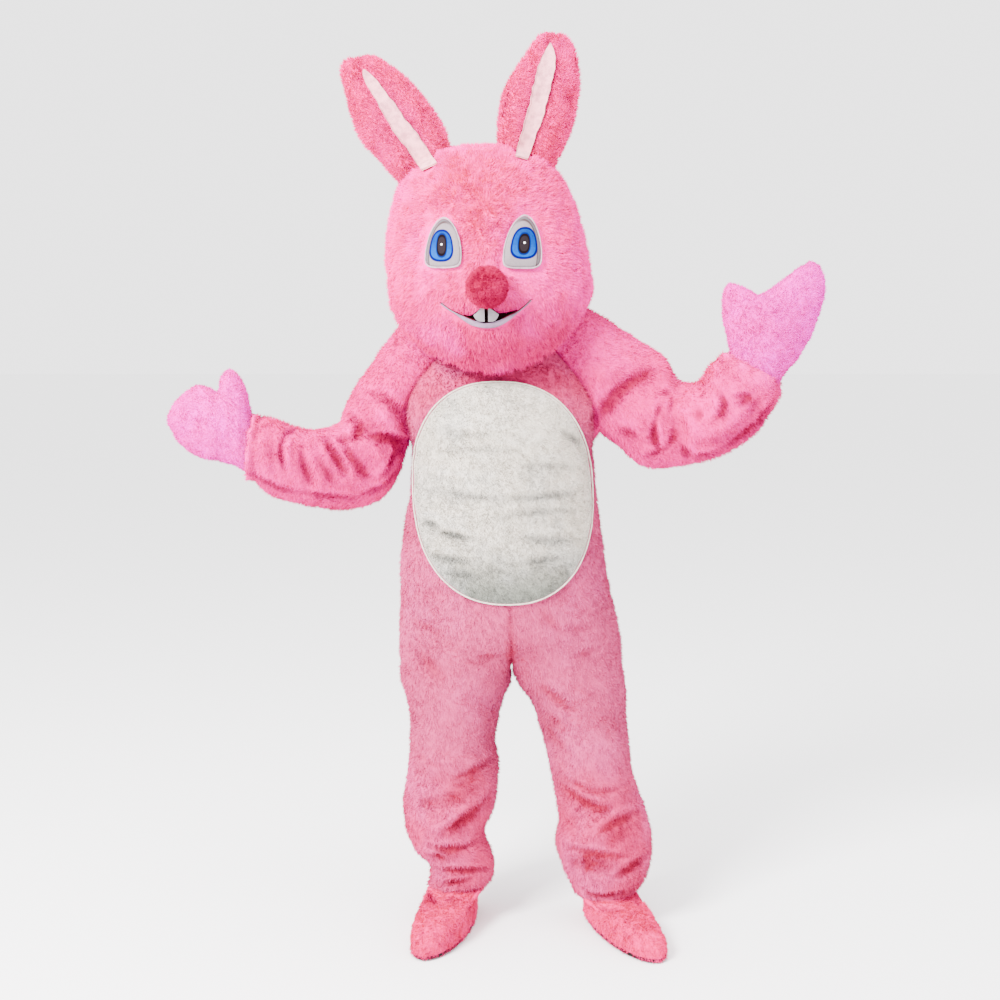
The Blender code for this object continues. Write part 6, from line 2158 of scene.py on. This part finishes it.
@dataclass
class Mitten:
    """Mitten of a palm and a back, its wrist tucked into the sleeve's cuff."""

    side: Side
    tuck: float = 0.009
    rings: int = 48
    columns: int = 56
    pile_height: float = 0.003
    nap: Nap = Nap(per_area=260000, length=0.007, width=0.0021, lean=1.2, tuft=0.8)
    cut: Cut = Cut(0.27, 0.30, 0.046, Held.STRETCHED)

    def rows(self) -> Table:
        """The sleeve's last two rings, smaller by the tuck, and the hand's rings after them."""
        arm, hand = ARM[self.side], MITTEN_RINGS[self.side]
        joined = {name: np.concatenate([arm[name][-2:], hand[name]]) for name in hand}
        tuck = np.where(np.arange(len(joined["middle"])) < 2, self.tuck, 0.0)
        top, low = (np.stack([joined[f"{edge}_x"], joined[f"{edge}_z"]], -1) for edge in ("top", "low"))
        way = unit(low - top) * tuck[:, None]
        joined["top_x"], joined["top_z"] = (top + way).T
        joined["low_x"], joined["low_z"] = (low - way).T
        joined["half_depth"] = joined["half_depth"] - tuck
        return joined

    def dress(self) -> None:
        """Builds palm and back with their pile; the side seam is a soft groove."""
        rows = self.rows()
        row = np.linspace(0.25, len(rows["middle"]) - 1.0, self.rings + 1)[:, None]
        end = np.clip((np.arange(self.rings + 4) - self.rings + 3) / 3, 0, 1)[:, None]
        lay = away_from(Suit.ring_at(rows, 0.0, 0.0), 0.5)
        for word, start, seed in (("palm", 0.0, 110), ("back", 0.5, 111)):
            share = start + np.linspace(0, 0.5, self.columns // 2 + 1)
            cloth = Cloth(Suit.ring_at(rows, row, share), -self.side.value)
            cloth.rumple(0.0018, 0.04, 83).rumple(0.0008, 0.016, 84)
            # Side seam groove, noted for painted shade.
            cloth.press(edge_groove(cloth.points, (0, -1), 0.005, 0.003), 0.008)
            cloth = self.closed(cloth.press(self.pile_height * (1 - end[:-3]), 1.0))
            name = f"mitten_{word}_{self.side.word}"
            piece = add_cloth(f"{name}_plush", cloth, MITTEN_NAP, "plush_pink", WALL * (1 - 0.9 * end), KNIT)
            pile = self.nap.grow(f"pile_{name}", cloth, lay, MITTEN_NAP, "plush_pink", seed)
            self.cut.declare(piece, cloth, name, [pile])

    @staticmethod
    def closed(cloth: Cloth) -> Cloth:
        """The half with three more rows that draw its tip shut on the side seam's line."""
        tip = cloth.points[-1]
        seam = tip[:1] + (tip[-1:] - tip[:1]) * np.linspace(0, 1, len(tip))[:, None]
        onward = unit(tip.mean(axis=0) - cloth.points[-6].mean(axis=0))
        near, out = (np.array(part)[:, None, None] for part in ((0.75, 0.4, 0.02), (0.002, 0.0035, 0.004)))
        rows = seam + (tip - seam) * near + onward * out
        fold = np.concatenate([cloth.fold, np.repeat(cloth.fold[-1:], 3, axis=0)])
        return Cloth(np.concatenate([cloth.points, rows]), cloth.outward, fold=fold)


FOOT_CREASES = Folds(
    back=lengths(
        "x0 z0 x1 z1 bow width depth",
        (-172, -75, -140, -185, 4, 7, 10),
        (-105, -110, -45, -80, 0, 7, 6),
        (-120, -170, -100, -120, 0, 8, 4),
        (190, -180, 275, -190, 4, 8, 10),
        (306, -110, 308, -170, 0, 8, 8),
        (200, -125, 290, -130, -6, 8, 6),
    ),
)


@dataclass
class FootCover:
    """Foot cover: an upper whose shaft runs up the trouser leg, and a flat sole."""

    side: Side
    suit: Suit
    reach: float = 0.190
    ahead: float = 0.098
    half_width: float = 0.054
    sole: float = 0.010
    skirt: float = 0.0045
    sole_grow: float = 0.992
    shaft: float = 0.055
    tuck: float = 0.007
    more_tuck: float = 0.013
    toe_egg: float = 0.14
    columns: int = 40
    nap: Nap = Nap(per_area=240000, length=0.008, width=0.0022, lean=1.1, tuft=0.9)
    cut: Cut = Cut(0.56, 0.24, 0.095, Held.GATHERED)

    TURN = {Side.RIGHT: math.radians(14), Side.LEFT: math.radians(20)}
    RISE = table(
        "row share rise",
        (0, 0.00, 1.00),
        (1, 0.02, 0.96),
        (2, 0.20, 0.92),
        (3, 0.45, 0.90),
        (4, 0.68, 0.82),
        (5, 0.88, 0.62),
        (6, 0.98, 0.34),
        (7, 1.00, 0.00),
    )

    def outline(self, turn: Array, ankle: Array, grow: float = 1.0) -> Array:
        """Egg-shaped sole outline, turned out, from the inner side round by the toe."""
        angle = self.TURN[self.side]
        forward = np.array([self.side.value * math.sin(angle), -math.cos(angle)])
        across = np.array([-forward[1] * self.side.value, forward[0] * self.side.value])
        ahead = self.ahead + grow * self.reach * np.cos(turn)
        aside = grow * self.half_width * np.sin(turn) * (1 + self.toe_egg * np.cos(turn))
        return ankle + ahead[:, None] * forward + aside[:, None] * across

    def cuff(self, height: float) -> Array:
        """Loop inside the trouser leg at a height: over the front, then back along the back."""
        share = np.linspace(0, 1, self.columns + 1)
        level = np.full_like(share, height)
        front, back = (self.suit.surface_at(self.side, face, share, level) for face in Face)
        loop = np.concatenate([front, back[::-1][1:-1]])
        middle = loop.mean(axis=0)
        away = loop - middle
        length = np.linalg.norm(away, axis=-1, keepdims=True)
        tuck = self.tuck + self.more_tuck * min(1.0, (height - self.suit.HEM[self.side]) / 0.015)
        return middle + away * (length - tuck) / length

    def dress(self) -> None:
        """Builds the upper with its pile, and the sole."""
        hem, word = self.suit.HEM[self.side], self.side.word
        fore, aft = (np.linspace(start, start + math.pi, self.columns + 1) for start in (-QUARTER, QUARTER))
        turn = np.concatenate([fore, aft[1:-1]])
        shaft = np.array([self.cuff(height) for height in np.linspace(hem + self.shaft, hem, 7)])
        cuff = shaft[-1, :, :2]
        ankle = cuff.mean(axis=0)
        row = np.linspace(0, 7, 40)[1:, None]
        share, rise = (smooth(self.RISE, "row", name, row) for name in ("share", "rise"))
        plan = (1 - share[..., None]) * cuff + share[..., None] * self.outline(turn, ankle)
        lower = spots(plan[..., 0], plan[..., 1], self.skirt + rise * (hem - self.skirt))
        cloth = Cloth(np.concatenate([shaft, lower]), -self.side.value, wrapped=True)
        fade = np.clip((cloth.points[..., 2] - 0.02) / 0.02, 0, 1)
        # Soft dents and creases, with painted shade in them.
        cloth.press(0.0022 * lattice_noise(cloth.points, 0.05, 91) * fade).inset(0.0015)
        seen = [grid[..., [0, 2, 1]] for grid in (cloth.points, cloth.normals())]
        cloth.press(FOOT_CREASES.depth(*seen) * fade)
        piece = add_cloth(f"foot_{word}_plush", cloth, FOOT_NAP, "plush_pink")

        def shown(points: Array) -> Array:
            """Share of the pile's length: none up the trouser leg."""
            return np.where(points[:, 2] < hem + 0.014, 1.0, 0.0)

        lay = away_from((*ankle, 0.10), 0.3)
        pile = self.nap.grow(f"pile_foot_{word}", cloth, lay, FOOT_NAP, "plush_pink", 120, shown)
        self.cut.declare(piece, cloth, f"foot_upper_{word}", [pile])
        edge = self.outline(turn, ankle, self.sole_grow)
        share = np.linspace(0.01, 1, 9)[:, None]
        plan = edge.mean(axis=0) + share[..., None] * (edge - edge.mean(axis=0))
        round_off = 0.003 * np.clip((share - 0.9) / 0.1, 0, 1) ** 2
        faces = (spots(plan[..., 0], plan[..., 1], up) for up in (self.sole - round_off * 0.4, round_off))
        sole = add_wall(f"sole_{word}", *faces, SOLE_RUBBER, "sole_dark", plate=True)
        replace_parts(sole, f"foot_sole_{word}")


# ---------------------------------------------------------------- studio


@dataclass
class Studio:
    """Pale floor, near-white surroundings, soft lamps and the camera."""

    lens: float = 36 * 1785 / 1000
    pitch: float = math.radians(6.4)
    distance: float = 4.0
    height: float = 1.40

    def lamp(self, name: str, place: Colour, aim: Colour, size: float, power: float, colour: Colour) -> None:
        """A soft square lamp at a place, turned to its aim."""
        data = bpy.data.lights.new(name, "AREA")
        data.shape = "SQUARE"
        data.size, data.energy, data.color = size, power, colour
        made = bpy.data.objects.new(name, data)
        bpy.context.scene.collection.objects.link(made)
        made.location = place
        way = mathutils.Vector(aim) - mathutils.Vector(place)
        made.rotation_euler = way.to_track_quat("-Z", "Y").to_euler()

    def build(self) -> None:
        """Sets the floor, surroundings, lamps and camera."""
        floor_mesh = bpy.data.meshes.new("floor")
        half = 30.0
        corners = [(-half, -half, 0), (half, -half, 0), (half, half, 0), (-half, half, 0)]
        floor_mesh.from_pydata(corners, [], [(0, 1, 2, 3)])
        floor = bpy.data.objects.new("floor", floor_mesh)
        bpy.context.scene.collection.objects.link(floor)
        floor.location = (0, 0, -NECK_HEIGHT - 0.001)
        recipe = Recipe("floor_pale")
        shade = recipe.noise(0.8, 2.0)
        colour = recipe.mix(shade * 0.1, (0.93, 0.93, 0.93), (0.88, 0.88, 0.89))
        floor_mesh.materials.append(recipe.set(Base_Color=colour, Roughness=0.9))

        world = bpy.data.worlds.new("studio")
        world.use_nodes = True
        world.node_tree.nodes["Background"].inputs[0].default_value = (1.0, 0.99, 1.0, 1)
        world.node_tree.nodes["Background"].inputs[1].default_value = 3.1
        bpy.context.scene.world = world
        self.lamp("key", (-2.2, -2.8, 2.0), (0, 0, 0.1), 1.5, 900, (1.0, 0.98, 0.98))
        self.lamp("fill", (2.8, -2.4, 0.6), (0.1, 0, 0), 2.2, 40, (0.95, 0.88, 1.0))
        self.lamp("top", (0.2, -0.4, 3.2), (0, 0, 0), 2.2, 165, (1.0, 1.0, 1.0))

        data = bpy.data.cameras.new("camera")
        data.sensor_width, data.lens = 36, self.lens
        camera = bpy.data.objects.new("camera", data)
        bpy.context.scene.collection.objects.link(camera)
        camera.location = (0, -self.distance, self.height - NECK_HEIGHT)
        camera.rotation_euler = (QUARTER - self.pitch, 0, 0)
        bpy.context.scene.camera = camera


def main() -> None:
    """Dresses the whole costume and builds the studio."""
    logging.basicConfig(level=logging.INFO, format="%(message)s")
    suit = Suit()
    patch = BellyPatch(suit)
    suit.dress(patch)
    patch.dress()
    BackZip().dress()
    head = Head()
    head.dress()
    for side in Side:
        Ear(side, head).dress()
        Mitten(side).dress()
        FootCover(side, suit).dress()
    Studio().build()


if __name__ == "__main__":
    main()
